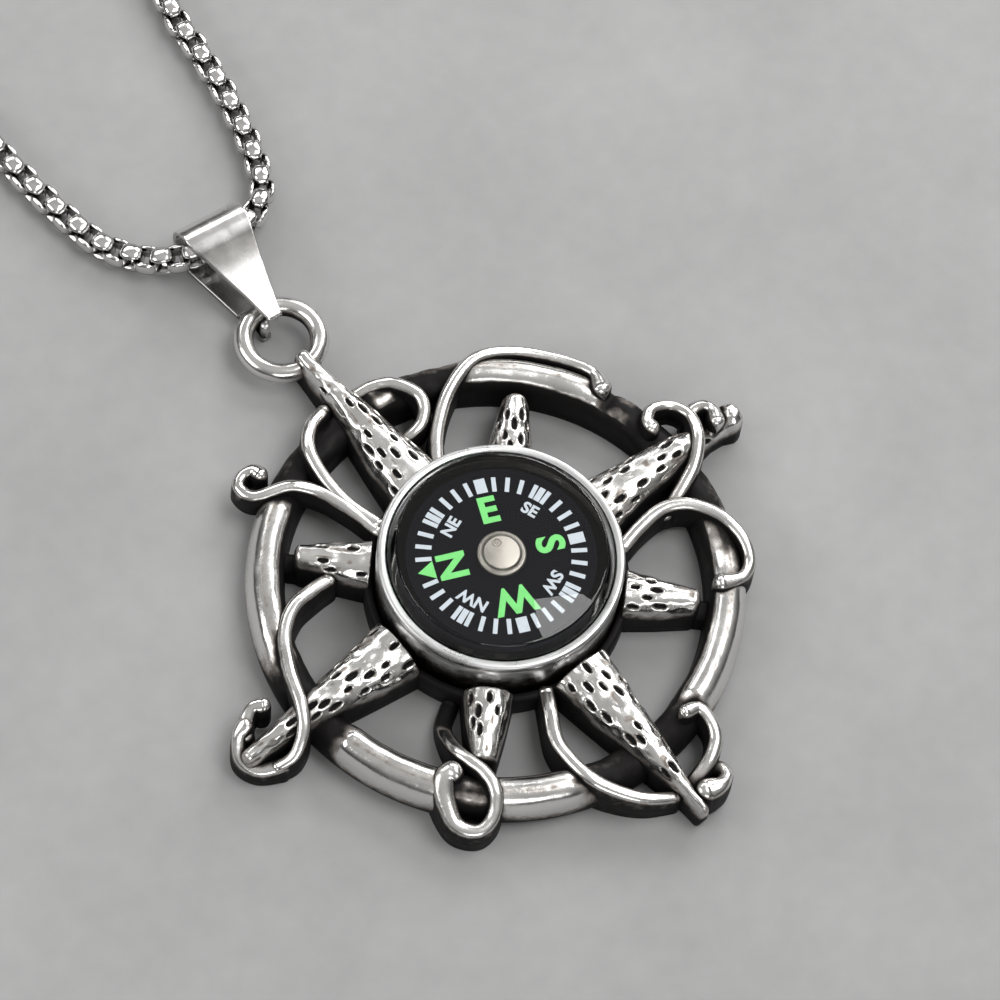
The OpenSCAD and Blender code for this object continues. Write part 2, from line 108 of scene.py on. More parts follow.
class DialSizes(bpy.types.PropertyGroup):
    """Sizes of the card's printing"""

    tick_reach: length("Tick reach", "Distance of the ticks' outer ends from the centre", 7.55)
    tick_length: length("Tick length", "Length of a tick", 1.42)
    tick_width: length("Tick width", "Width of a tick", 0.4)
    letter_height: length("Letter height", "Height of the four large letters", 2.7)
    small_height: length("Small letter height", "Height of the letters between them", 1.2)
    north: FloatProperty(
        name="North", description="Bearing at which the card's north lies, from the pendant's right",
        default=math.radians(156.1), subtype="ANGLE", unit="ROTATION")


class ChainSizes(bpy.types.PropertyGroup):
    """Sizes of the chain and the bail"""

    thickness: length("Chain thickness", "Thickness of the chain over its links", 2.52)
    pitch: length("Pitch", "Distance from one link to the next", 1.5)
    strip: length("Strip", "Thickness of a link's strip", 0.26)
    link_reach: length("Link reach", "Half of a link's length", 1.02)
    link_width: length("Link width", "Width of a link's plates", 1.7)
    bail_width: length("Bail width", "Width of the bail at its fold", 6.5)
    bail_strip: length("Bail strip", "Thickness of the bail's strip", 0.45)
    fold_radius: length("Fold radius", "Radius inside the bail's fold", 2.3)


class Finishes(bpy.types.PropertyGroup):
    """Colours of the pendant's finishes"""

    silver: tint("Silver", "Polished crests of the casting", (0.80, 0.79, 0.77))
    tarnish: tint("Tarnish", "Brown-grey film between the crests and the hollows", (0.30, 0.27, 0.245))
    # Black of the casting's patina, also laid as painted shade wherever the shelter mask darkens the silver
    patina_and_shade: tint("Soot", "Black left in the casting's hollows", (0.012, 0.011, 0.011))
    steel: tint("Steel", "Bail, chain and clasp", (0.80, 0.79, 0.78))
    # Painted shade: the dark laid on the steel, the case and the cap where they are sheltered
    shade: tint("Shade", "Dark film in sheltered places of the turned and bent metal", (0.05, 0.042, 0.036))
    case: tint("Case", "Metal of the compass's case", (0.66, 0.66, 0.66))
    card: tint("Card", "Ground of the card", (0.006, 0.006, 0.008))
    white_print: tint("White print", "Ticks and small letters", (0.62, 0.66, 0.72))
    green_print: tint("Green print", "Large letters and north's arrow", (0.22, 0.72, 0.22))
    cap: tint("Cap", "Cap over the card's bearing", (0.35, 0.32, 0.29))
    floor: tint("Floor", "Pale floor", (0.31, 0.31, 0.31))


# Sections of a spoke as (share of its run, width in mm, share of its fall in height)
LONG_SECTIONS = (
    (0, 6.1, 0), (0.24, 4.9, 0), (0.41, 3.95, 0.03), (0.58, 3.05, 0.12), (0.72, 2.45, 0.3),
    (0.88, 1.85, 0.58), (1, 1.55, 0.75),
)
HEAD_SECTIONS = (
    (0, 6.1, 0), (0.22, 4.75, 0), (0.41, 4.1, 0.02), (0.58, 3.2, 0.1), (0.68, 2.4, 0.45),
    (0.79, 1.7, 1.3), (0.87, 1.85, 1.15), (0.935, 2.75, 0.45), (1, 2.5, 0.5),
)
RIDGE_SECTIONS = (
    (0, 6.1, 0), (0.24, 4.9, 0), (0.41, 3.95, 0.03), (0.58, 3.0, 0.12), (0.7, 2.4, 0.28),
    (0.79, 1.7, 0.42), (0.87, 1.15, 0.6), (1, 0.95, 0.8),
)
SHORT_SECTIONS = ((0, 4.65, 0), (0.5, 3.6, 0.05), (1, 2.25, 0.15))

# Long spokes as (bearing in degrees, share of the reach, sections), and short ones as (bearing, share)
LONG_SPOKES = (
    (90, 1.012, LONG_SECTIONS), (-0.9, 1, HEAD_SECTIONS), (-89.8, 1.005, RIDGE_SECTIONS),
    (180, 1.005, LONG_SECTIONS),
)
SHORT_SPOKES = ((45.2, 1.02), (-45.8, 1.02), (-133.6, 1.02), (136.4, 1.02))

# Least width in mm of a spoke where a column of pits, counted from its middle, still fits
PIT_COLUMN_WIDTHS = {0: 1.35, 1: 3.2, 2: 1.9}

# Rounded end of a spoke as (share of its last ring, push outwards in mm)
SPOKE_END = ((0.93, 0.26), (0.78, 0.43), (0.5, 0.55), (0.2, 0.6))

# Hoop's section as (share of its width inwards from its outer edge, share of its height)
HOOP_CORNERS = (
    (0.05, 0), (-0.05, 0.14), (-0.09, 0.34), (-0.07, 0.54), (0.01, 0.73), (0.13, 0.88), (0.3, 0.97),
    (0.48, 1), (0.66, 0.98), (0.81, 0.91), (0.93, 0.79), (0.99, 0.6), (1.01, 0.3), (1.04, 0),
)

# Height of the hoop round its turn as (bearing in degrees, share of its height)
HOOP_LEVELS = (
    (-180, 0.72), (-173, 0.76), (-168, 1), (-142.5, 1), (-141, 0.9), (-131, 0.9), (-129.5, 1),
    (-112, 1), (-105, 0.8), (-99, 0.7), (-82, 0.7), (-76, 0.82), (-72, 1), (-36, 1), (-29, 0.9),
    (-22, 0.88), (-15, 0.74), (10, 0.72), (15, 0.84), (19, 0.84), (21, 0.78), (24, 0.95), (28, 1),
    (57, 1), (63, 0.82), (70, 0.74), (76, 0.78), (79, 0.92), (84, 0.92), (88, 0.72), (104, 0.66),
    (114, 0.74), (119, 0.8), (124, 1), (158, 1), (166, 0.86), (173, 0.74), (180, 0.72),
)

# Vine routes as rows of (share of the hoop's radius, bearing, crest as a share of its height)
CROWN_VINE = (
    (0.53, 78, 0.9), (0.68, 72, 0.95), (0.84, 64.5, 1.05), (0.975, 56.3, 1.08),
    (1.025, 47, 0.95), (1.03, 36, 0.92), (1.015, 28, 1), (0.955, 24, 1.1),
)
NORTH_VINE = (
    (0.99, 87.5, 0.85), (0.985, 82.5, 0.95), (0.95, 78, 1.08), (0.87, 73.3, 1.08),
    (0.8, 72.8, 1.05), (0.74, 75.6, 1), (0.715, 80, 0.95), (0.71, 84.5, 0.85),
)
ARCH_VINE = (
    (1.02, 95, 0.8), (1, 100.5, 0.95), (0.93, 106.4, 1.08),
    (0.81, 111, 1.05), (0.67, 114.5, 0.95), (0.53, 116.5, 0.9),
)
CURL_VINE = (
    (0.52, 119.5, 0.86), (0.66, 116.2, 0.95), (0.8, 115.4, 1), (0.915, 117.8, 1.08), (1.03, 123, 1),
    (1.105, 122, 0.95), (1.115, 119.4, 0.95), (1.088, 117.5, 0.98), (1.052, 117.6, 1),
)
WEST_VINE = (
    (0.68, 143.5, 0.85), (0.75, 147.7, 0.95), (0.835, 152.8, 1.05), (0.9, 160, 1.08), (0.94, 169, 1.12),
    (0.985, 178.5, 1.2), (1.04, 183.3, 1.08), (1.12, 185.3, 0.8), (1.19, 184.3, 0.6),
)
WEST_TAIL = (
    (1.17, 184.7, 0.6), (1.25, 182.3, 0.5), (1.28, 179, 0.6),
    (1.25, 176.2, 0.85), (1.21, 175.2, 0.95),
)
WEST_HOOK = ((1.215, 176.3, 0.8), (1.185, 174.1, 0.95), (1.145, 172.9, 1), (1.105, 173.5, 1))
LOOP_VINE = (
    (0.55, -149, 0.3), (0.66, -148, 0.42), (0.78, -141.5, 0.92), (0.86, -133.5, 1.08),
    (0.945, -130.2, 1.08), (1.03, -130.6, 0.85), (1.085, -133.5, 0.75), (1.07, -138.1, 0.75),
    (0.985, -141.6, 0.92), (0.92, -142.9, 1.08), (0.885, -141.5, 1.1),
)
SOUTH_VINE = (
    (0.53, -108, 0.8), (0.62, -110, 0.9), (0.745, -111.6, 0.95), (0.85, -110, 1.05),
    (0.95, -107, 1.08), (1.03, -102.5, 0.95), (1.1, -97.5, 0.8), (1.15, -92, 0.65),
)
HOOK_VINE = (
    (1.15, -88, 0.65), (1.135, -82.5, 0.85), (1.1, -78, 0.9),
    (1.045, -75.6, 0.97), (0.975, -74.9, 1.05), (0.945, -77.8, 1.08),
)
SOUTH_TAIL = (
    (1.135, -82.5, 0.6), (1.18, -81.2, 0.65), (1.22, -81.8, 0.75), (1.235, -84.2, 0.85),
    (1.215, -86.8, 0.85),
)
EAST_VINE = (
    (0.53, -23, 0.8), (0.62, -17.5, 0.9), (0.74, -14.4, 1), (0.85, -16.4, 1.05), (0.95, -22.2, 1.08),
    (1.01, -28.5, 1.05), (1.025, -34, 1), (0.99, -38.5, 1.05), (0.905, -40.7, 1.1),
)
OVER_VINE = (
    (0.76, -15.2, 0.8), (0.87, -10.3, 0.95), (0.96, -6.6, 1.05), (1.04, -1.8, 1.12),
    (1.09, 3.8, 1), (1.07, 8.3, 0.95), (1, 10.7, 1.05), (0.94, 9.6, 1.08), (0.925, 7.2, 1.08),
)
EAST_TAIL = ((1.085, 3.5, 0.8), (1.135, 4.7, 0.8), (1.18, 3.9, 0.85), (1.19, 1.8, 0.9), (1.165, -0.5, 0.95))

# Every vine as (route, foot as a share of the hoop's height, width of its end and length of the
# swelling that leads to it, both in mm and both 0 for a plain end)
VINES = (
    (CROWN_VINE, 0.25, 2.0, 1.9), (NORTH_VINE, 0.3, 0, 0), (ARCH_VINE, 0.25, 0, 0),
    (CURL_VINE, 0.35, 1.6, 1.5), (WEST_VINE, 0, 0, 0), (WEST_TAIL, 0.02, 1.6, 1.5),
    (WEST_HOOK, 0.25, 1.6, 1.5), (LOOP_VINE, 0, 2.2, 8.5), (SOUTH_VINE, 0, 0, 0),
    (HOOK_VINE, 0.15, 1.4, 1.3), (SOUTH_TAIL, 0.15, 2.3, 2.2), (EAST_VINE, 0.2, 1.9, 1.8),
    (OVER_VINE, 0.3, 1.45, 1.4), (EAST_TAIL, 0.2, 1.7, 1.6),
)

# Darker patch painted along the bail's front leaf as (share of the run from its tip to its fold, darkening
# gathered)
BAIL_PATCH = (
    (0, 0.3), (0.12, 0.5), (0.3, 0.56), (0.5, 0.6), (0.66, 0.74), (0.84, 0.76), (0.92, 0.55), (1, 0.5),
)

# Chain route in mm as (x, y from the hanging loop's centre, height above its resting line)
CHAIN_ROUTE = (
    (-3.8, 267.8, 0), (-17, 264.8, 0), (-32, 252.8, 0), (-45, 233.8, 0), (-53, 209.3, 0),
    (-55.5, 182.8, 0), (-53, 154.8, 0), (-47, 127.3, 0), (-38, 100.8, 0), (-27, 75.8, 0),
    (-16, 54.3, 0), (-9.2, 38.8, 0), (-8.6, 31.2, 0), (-8.3, 26.3, 0), (-7.6, 20.8, 0),
    (-6.9, 18, 0), (-5.1, 14.8, 0.35), (-3, 12.7, 0.95), (-0.6, 11.6, 1.3), (2.2, 11.4, 1.35),
    (5.3, 11.7, 1.15), (7.4, 12.8, 0.7), (9.1, 14.7, 0.25), (10.6, 18.2, 0), (11.6, 21.5, 0),
    (12.5, 25.1, 0), (13.3, 30, 0), (14.4, 36.6, 0), (19.5, 51.3, 0), (31, 73.8, 0),
    (42, 98.8, 0), (52, 125.3, 0), (58.5, 152.8, 0), (60.5, 181.3, 0), (57.5, 208.8, 0),
    (49.5, 232.8, 0), (37, 251.8, 0), (22, 264.8, 0), (8.8, 267.8, 0),
)

# Lamps as (name, bearing, rise, distance in m, (width, height) in m, watts)
LAMPS = (
    ("top_box", -30, 66, 0.5, (0.28, 0.24), 1.25),
    ("right_box", 22, 34, 0.55, (0.36, 0.26), 1.7),
    ("left_box", 150, 34, 0.5, (0.34, 0.2), 0.8),
    ("front_box", -125, 26, 0.5, (0.3, 0.14), 0.5),
    ("back_box", 78, 36, 0.5, (0.3, 0.1), 0.45),
)


class Pile:
    """Points and faces of one piece, gathered before its mesh is made."""

    def __init__(self):
        self.points = []
        self.faces = []
        self.hollows = []

    def grid(self, rows, ring=True, loop=False, ends=False, hollows=None):
        """Join rows of points with quads; ring closes each row and loop joins the last row to the first."""
        start = len(self.points)
        count = len(rows[0])
        for row in rows:
            self.points.extend(tuple(p) for p in row)
        for row in hollows or [[0.0] * count] * len(rows):
            self.hollows.extend(row)
        last_row = len(rows) if loop else len(rows) - 1
        last_step = count if ring else count - 1
        for i in range(last_row):
            a = start + i * count
            b = start + (i + 1) % len(rows) * count
            for k in range(last_step):
                m = (k + 1) % count
                self.faces.append((a + k, a + m, b + m, b + k))
        if ends:
            self.cap(rows[0], start, True)
            self.cap(rows[-1], start + (len(rows) - 1) * count, False)

    def cap(self, row, start, turned_round):
        """Close an open end with a fan round the row's middle."""
        middle = len(self.points)
        self.points.append(tuple(np.mean(np.array(row), axis=0)))
        self.hollows.append(0.0)
        count = len(row)
        for k in range(count):
            a, b = start + k, start + (k + 1) % count
            self.faces.append((b, a, middle) if turned_round else (a, b, middle))

    def lathe(self, profile, sides, centre=(0, 0), hollows=None):
        """Turn a profile of (radius, height) round an upright axis; radius 0 closes an end."""
        rows = []
        for k in range(sides):
            turn = TWO_PI * k / sides
            rows.append([
                (centre[0] + r * math.cos(turn), centre[1] + r * math.sin(turn), z) for r, z in profile
            ])
        self.grid(rows, ring=False, loop=True, hollows=[hollows or [0.0] * len(profile)] * sides)

    def plate(self, outline, low, high):
        """A thin flat plate over a simple outline."""
        count = len(outline)
        start = len(self.points)
        self.points.extend([(x, y, low) for x, y in outline] + [(x, y, high) for x, y in outline])
        self.hollows.extend([0.0] * (2 * count))
        self.faces.append(tuple(start + k for k in reversed(range(count))))
        self.faces.append(tuple(start + count + k for k in range(count)))
        for k in range(count):
            m = (k + 1) % count
            self.faces.append((start + k, start + m, start + count + m, start + count + k))

    def make(self, name, material, flat=False):
        """Turn the pile into an object with outward faces and one material."""
        mesh = bpy.data.meshes.new(name)
        mesh.from_pydata(self.points, [], self.faces)
        layer = mesh.attributes.new("hollow", "FLOAT", "POINT")
        layer.data.foreach_set("value", self.hollows)
        work = bmesh.new()
        work.from_mesh(mesh)
        bmesh.ops.remove_doubles(work, verts=work.verts, dist=0.5e-6)
        bmesh.ops.recalc_face_normals(work, faces=work.faces)
        work.to_mesh(mesh)
        work.free()
        if flat:
            mesh.shade_flat()
        else:
            mesh.shade_smooth()
        return add_object(name, mesh, material)


def add_object(name, mesh, material):
    """An object in the scene, with one material."""
    mesh.materials.clear()
    mesh.materials.append(material)
    piece = bpy.data.objects.new(name, mesh)
    bpy.context.scene.collection.objects.link(piece)
    return piece


def repaint(node, material):
    """A frame's node with another finish."""
    mesh = bpy.data.objects[node].data
    mesh.materials.clear()
    mesh.materials.append(material)


def eased(share):
    """A share from 0 to 1, slow at both ends."""
    return share * share * (3 - 2 * share)


def lumps(points, size, seed):
    """Smooth lumps from -1 to 1, of a given size, the same on every run."""
    where = np.asarray(points) / size + seed * 17.3
    base = np.floor(where)
    part = eased(where - base)
    total = 0
    for corner in np.ndindex(2, 2, 2):
        mixed = np.sin((base + corner) @ np.array([12.71, 31.17, 7.47])) * SCATTER
        share = np.prod(np.where(np.array(corner) == 1, part, 1 - part), axis=-1)
        total = total + (2 * (mixed - np.floor(mixed)) - 1) * share
    return total


def wobble(seed):
    """A repeatable number from 0 to 1 for each seed."""
    value = math.sin(seed * 12.9898 + 4.1) * SCATTER
    return value - math.floor(value)


def smooth_line(points, steps):
    """A smooth line through the points, with the part's own curve between neighbours."""
    points = [np.array(p, dtype=float) for p in points]
    last = len(points) - 1
    line = []
    for i in range(last):
        a, b = points[max(i - 1, 0)], points[i]
        c, d = points[i + 1], points[min(i + 2, last)]
        for k in range(steps):
            t = k / steps
            line.append(0.5 * (
                2 * b + (c - a) * t + (2 * a - 5 * b + 4 * c - d) * t * t
                + (3 * b - a - 3 * c + d) * t ** 3
            ))
    line.append(points[last])
    return line


def run_along(line):
    """Distance of each of a line's points from its first, along the line."""
    return np.concatenate([[0], np.cumsum(np.linalg.norm(np.diff(line, axis=0), axis=1))])


def spaced(line, count):
    """A line's points set out again at even distances."""
    line = np.array(line)
    along = run_along(line)
    where = np.linspace(0, along[-1], count)
    return np.stack([np.interp(where, along, line[:, axis]) for axis in range(line.shape[1])], axis=1)


def even_line(line, gap):
    """Points of a line at even distances, as near to a gap as they come out."""
    return spaced(line, max(2, round(run_along(line)[-1] / gap) + 1))


def blend_between(rows, where, column):
    """A column of a table at a share of the run, in a straight line between its rows."""
    for low, high in zip(rows, rows[1:]):
        if where <= high[0]:
            share = (where - low[0]) / (high[0] - low[0])
            return low[column] + (high[column] - low[column]) * share
    return rows[-1][column]


def turned(point, degrees):
    """A point turned round the upright axis."""
    turn = math.radians(degrees)
    x, y, z = point
    return (x * math.cos(turn) - y * math.sin(turn), x * math.sin(turn) + y * math.cos(turn), z)


def signed_power(value, power):
    """A power of a number's size, with the number's own sign."""
    return math.copysign(abs(value) ** power, value)


class Wiring:
    """A shader's nodes, added and fed by name."""

    def __init__(self, tree):
        self.nodes = tree.nodes
        self.links = tree.links

    def feed(self, socket, value):
        """Give a socket a value, or link another node's socket to it."""
        if isinstance(value, bpy.types.NodeSocket):
            self.links.new(value, socket)
        else:
            socket.default_value = value

    def fill(self, node, **values):
        """Feed a node's inputs by name."""
        for name, value in values.items():
            self.feed(node.inputs[name.replace("_", " ")], value)
        return node

    def add(self, kind, **values):
        """A new node with its inputs fed."""
        return self.fill(self.nodes.new("ShaderNode" + kind), **values)

    def maths(self, operation, *terms, kind="Math"):
        """The result of a sum, each term a value or a socket."""
        node = self.add(kind)
        node.operation = operation
        for socket, term in zip(node.inputs, terms):
            self.feed(socket, term)
        return node.outputs[0]

    def place(self):
        """The piece's own coordinates."""
        return self.add("TexCoord").outputs["Object"]

    def noise(self, where, scale, detail):
        """Noise at a place."""
        return self.add("TexNoise", Vector=where, Scale=scale, Detail=detail).outputs["Fac"]

    def blend(self, share, low, high):
        """A colour from low to high, by a share."""
        node = self.add("Mix")
        node.data_type = "RGBA"
        self.fill(node, Factor=share, A=(*low, 1), B=(*high, 1))
        return node.outputs["Result"]

    def group(self, group, **values):
        """The outputs of a shader group placed with its own values."""
        node = self.nodes.new("ShaderNodeGroup")
        node.node_tree = group
        return self.fill(node, **values).outputs

    def raise_by(self, shader, height, strength, distance):
        """Raise a shader's surface by a height value."""
        bump = self.add("Bump", Height=height, Strength=strength, Distance=distance)
        self.fill(shader, Normal=bump.outputs["Normal"])

    def shade_and_patina(self, distance, **values):
        """The group of patina and painted shade, fed by the piece's own shelter and by the hollows noted on
        its mesh.
        """
        shelter = self.add("AmbientOcclusion", Distance=distance)
        shelter.samples = 8
        shelter.only_local = True
        hollow = self.add("Attribute")
        hollow.attribute_name = "hollow"
        return self.group(
            shade_and_patina_group(), Openness=shelter.outputs["AO"], Hollow=hollow.outputs["Fac"], **values)


def new_group(name, inputs, outputs):
    """An empty shader group with named inputs and outputs, with its wiring and its two ends."""
    group = bpy.data.node_groups.new(name, "ShaderNodeTree")
    for label, value in inputs.items():
        kind = "NodeSocketVector" if isinstance(value, tuple) else "NodeSocketFloat"
        socket = group.interface.new_socket(name=label, in_out="INPUT", socket_type=kind)
        socket.default_value = value
    for label in outputs:
        group.interface.new_socket(name=label, in_out="OUTPUT", socket_type="NodeSocketFloat")
    enter = group.nodes.new("NodeGroupInput").outputs
    return group, Wiring(group), enter, group.nodes.new("NodeGroupOutput")


def shade_and_patina_group():
    """Group that turns shelter and hollows into a mask of patina and painted shade, and a broken surface."""
    name = "Soot and wear"
    if name in bpy.data.node_groups:
        return bpy.data.node_groups[name]
    inputs = {"Openness": 1.0, "Hollow": 0.0, "Low": 0.35, "High": 0.8, "Speckle": 0.3, "Scale": 900.0}
    group, wiring, enter, leave = new_group(name, inputs, ("Soot", "Height"))
    speckle = wiring.noise(wiring.place(), enter["Scale"], 5)
    spread = wiring.maths("MULTIPLY", wiring.maths("SUBTRACT", speckle, 0.5), enter["Speckle"])
    open_air = wiring.maths("ADD", enter["Openness"], spread)
    less_hollow = wiring.maths("SUBTRACT", open_air, enter["Hollow"])
    mask = wiring.add(
        "MapRange", Value=less_hollow, From_Min=enter["Low"], From_Max=enter["High"], To_Min=1, To_Max=0)
    mask.interpolation_type = "SMOOTHSTEP"
    wiring.fill(leave, Soot=mask.outputs["Result"], Height=speckle)
    return group


def grain_group():
    """Group that gives a brushed grain and soft smudges."""
    name = "Grain and smudges"
    if name in bpy.data.node_groups:
        return bpy.data.node_groups[name]
    inputs = {"Stretch": (2500.0, 120.0, 2500.0), "Smudge scale": 400.0, "Rough from": 0.15, "Rough to": 0.3}
    group, wiring, enter, leave = new_group(name, inputs, ("Roughness", "Height"))
    place = wiring.place()
    grain = wiring.noise(wiring.maths("MULTIPLY", place, enter["Stretch"], kind="VectorMath"), 1, 4)
    smudge = wiring.noise(place, enter["Smudge scale"], 3)
    rough = wiring.add(
        "MapRange", Value=wiring.maths("MULTIPLY_ADD", grain, 0.35, smudge), From_Min=0.5, From_Max=0.85,
        To_Min=enter["Rough from"], To_Max=enter["Rough to"])
    wiring.fill(leave, Roughness=rough.outputs["Result"], Height=grain)
    return group


def new_finish(name):
    """The wiring and the Principled shader of a new material."""
    material = bpy.data.materials.new(name + FINISH)
    material.use_nodes = True
    wiring = Wiring(material.node_tree)
    return wiring, wiring.nodes["Principled BSDF"]


def finished(name):
    """A finish that an earlier operator made."""
    return bpy.data.materials[name + FINISH]


def silver_finish(finishes):
    """Antique silver: bright on the crests, black patina where a polishing wheel can't reach, brown-grey
    between; the same mask lays painted shade on sheltered places.
    """
    wiring, shader = new_finish("antique_silver")
    shade_and_patina = wiring.shade_and_patina(3.2 * MM, Low=0.42, High=0.9, Speckle=0.42, Scale=1300)
    colour = wiring.add("ValToRGB", Fac=shade_and_patina["Soot"])
    stops = colour.color_ramp.elements
    stops[0].color = (*finishes.silver, 1)
    stops[1].color = (*finishes.patina_and_shade, 1)
    stops.new(0.45).color = (*finishes.tarnish, 1)
    metal = wiring.add("MapRange", Value=shade_and_patina["Soot"], To_Min=1, To_Max=0.15)
    grain = wiring.group(
        grain_group(), Stretch=(700, 700, 700), Smudge_scale=260, Rough_from=0.14, Rough_to=0.3)
    rough = wiring.maths("MULTIPLY_ADD", shade_and_patina["Soot"], 0.3, grain["Roughness"])
    wiring.fill(
        shader, Base_Color=colour.outputs["Color"], Metallic=metal.outputs["Result"], Roughness=rough,
        Specular_IOR_Level=0.08)
    wiring.raise_by(shader, shade_and_patina["Height"], 0.4, 0.06 * MM)


def steel_finish(name, colour, shade, rough_range, stretch, strength, shade_to=0.5, speckle=0.06):
    """Polished metal with a fine grain, with painted shade where it is sheltered and where its mesh notes
    hollows.
    """
    wiring, shader = new_finish(name)
    shade_and_patina = wiring.shade_and_patina(0.9 * MM, Low=shade_to - 0.4, High=shade_to, Speckle=speckle, Scale=900)
    grain = wiring.group(
        grain_group(), Stretch=stretch, Smudge_scale=350, Rough_from=rough_range[0], Rough_to=rough_range[1])
    metal = wiring.blend(shade_and_patina["Soot"], colour, shade)
    wiring.fill(shader, Base_Color=metal, Metallic=1, Roughness=grain["Roughness"])
    wiring.raise_by(shader, grain["Height"], strength, 0.02 * MM)


def print_finish(name, colour, glow):
    """Printing ink or card, with a slight mottle and, when glow is given, a faint painted glow."""
    wiring, shader = new_finish(name)
    mottle = wiring.noise(wiring.place(), 1800, 4)
    ink = wiring.blend(mottle, [c * 0.82 for c in colour], colour)
    wiring.fill(shader, Base_Color=ink, Roughness=0.45, Specular_IOR_Level=0)
    if glow:
        wiring.fill(shader, Emission_Strength=glow, Emission_Color=ink)
    wiring.raise_by(shader, mottle, 0.1, 0.01 * MM)


def crystal_finish():
    """Clear acrylic that bends what is seen through it and lets the lamps' light pass."""
    wiring, shader = new_finish("crystal")
    wiring.fill(
        shader, Base_Color=(0.97, 0.985, 0.98, 1), Roughness=0, IOR=1.45, Specular_IOR_Level=0.16,
        Transmission_Weight=1)
    rays = wiring.add("LightPath").outputs
    clear = wiring.add("BsdfTransparent", Color=(0.93, 0.95, 0.94, 1))
    mix = wiring.add("MixShader", Fac=wiring.maths("MAXIMUM", rays["Is Shadow Ray"], rays["Is Diffuse Ray"]))
    wiring.feed(mix.inputs[1], shader.outputs["BSDF"])
    wiring.feed(mix.inputs[2], clear.outputs["BSDF"])
    wiring.fill(wiring.nodes["Material Output"], Surface=mix.outputs["Shader"])


def floor_finish(finishes):
    """Pale floor with a soft mottle, in clouds and in grains."""
    wiring, shader = new_finish("floor_paint")
    place = wiring.place()
    cloud, fine = wiring.noise(place, 45, 9), wiring.noise(place, 420, 4)
    mottle = wiring.maths("MULTIPLY_ADD", fine, 0.3, wiring.maths("MULTIPLY", cloud, 0.7))
    dark, light = ([c * share for c in finishes.floor] for share in (0.74, 1.24))
    wiring.fill(shader, Base_Color=wiring.blend(mottle, dark, light), Roughness=0.75)
    wiring.raise_by(shader, fine, 0.05, 0.05 * MM)


def spoke_section(width, height, wall, count):
    """Points round a spoke's section as (across, height), from foot to foot over its crown."""
    steps, lean = 60, 0.08 * MM
    crown = []
    for k in range(steps + 1):
        turn = math.pi * (1 - k / steps)
        across = signed_power(math.cos(turn), 0.85)
        crown.append((width / 2 * across, wall + (height - wall) * abs(math.sin(turn)) ** 0.75))
    left = [(-width / 2 - lean * (1 - t), wall * t) for t in (0, 0.4, 0.75)]
    right = [(-x, z) for x, z in reversed(left)]
    return np.array(left + [tuple(p) for p in spaced(crown, count)] + right)


def spoke_pits(start, reach, width_at, seed):
    """Places of a spoke's pits as (reach, distance round the crown, size), in staggered rows."""
    pitch, pitted_share, left_out = 2.3 * MM, 0.78, 0.3
    pits = []
    for column in range(-2, 3):
        where = start + 0.8 * MM + (pitch / 2 if column % 2 else 0)
        step = 0
        while where < start + (reach - start) * pitted_share:
            width = width_at(where)
            mark = seed * 7 + column * 13 + step
            if width > PIT_COLUMN_WIDTHS[abs(column)] * MM and wobble(mark * 1.7) > left_out:
                pits.append((
                    where + (wobble(mark) - 0.5) * 0.8 * MM,
                    column * 0.4 * width / 2 + (wobble(mark * 2.3) - 0.5) * 0.26 * MM,
                    0.8 + 0.55 * wobble(mark * 3.1),
                ))
            step += 1
            where += pitch
    return pits


def pit_shapes(pits, r, along):
    """How far each point of a spoke's ring sinks into a pit or rises in its lip, from 0 to 1."""
    half_long, half_wide, reach = 0.5 * MM, 0.22 * MM, 1.4 * MM
    sink, lip = np.zeros(len(along)), np.zeros(len(along))
    for pit_r, pit_a, size in pits:
        if abs(r - pit_r) < reach:
            near = ((r - pit_r) / (half_long * size)) ** 2 + ((along - pit_a) / (half_wide * size)) ** 2
            sink = np.maximum(sink, eased(np.clip(1.4 - near, 0, 1)))
            lip = np.maximum(lip, np.exp(-((near - 2.2) / 0.8) ** 2))
    return sink, lip


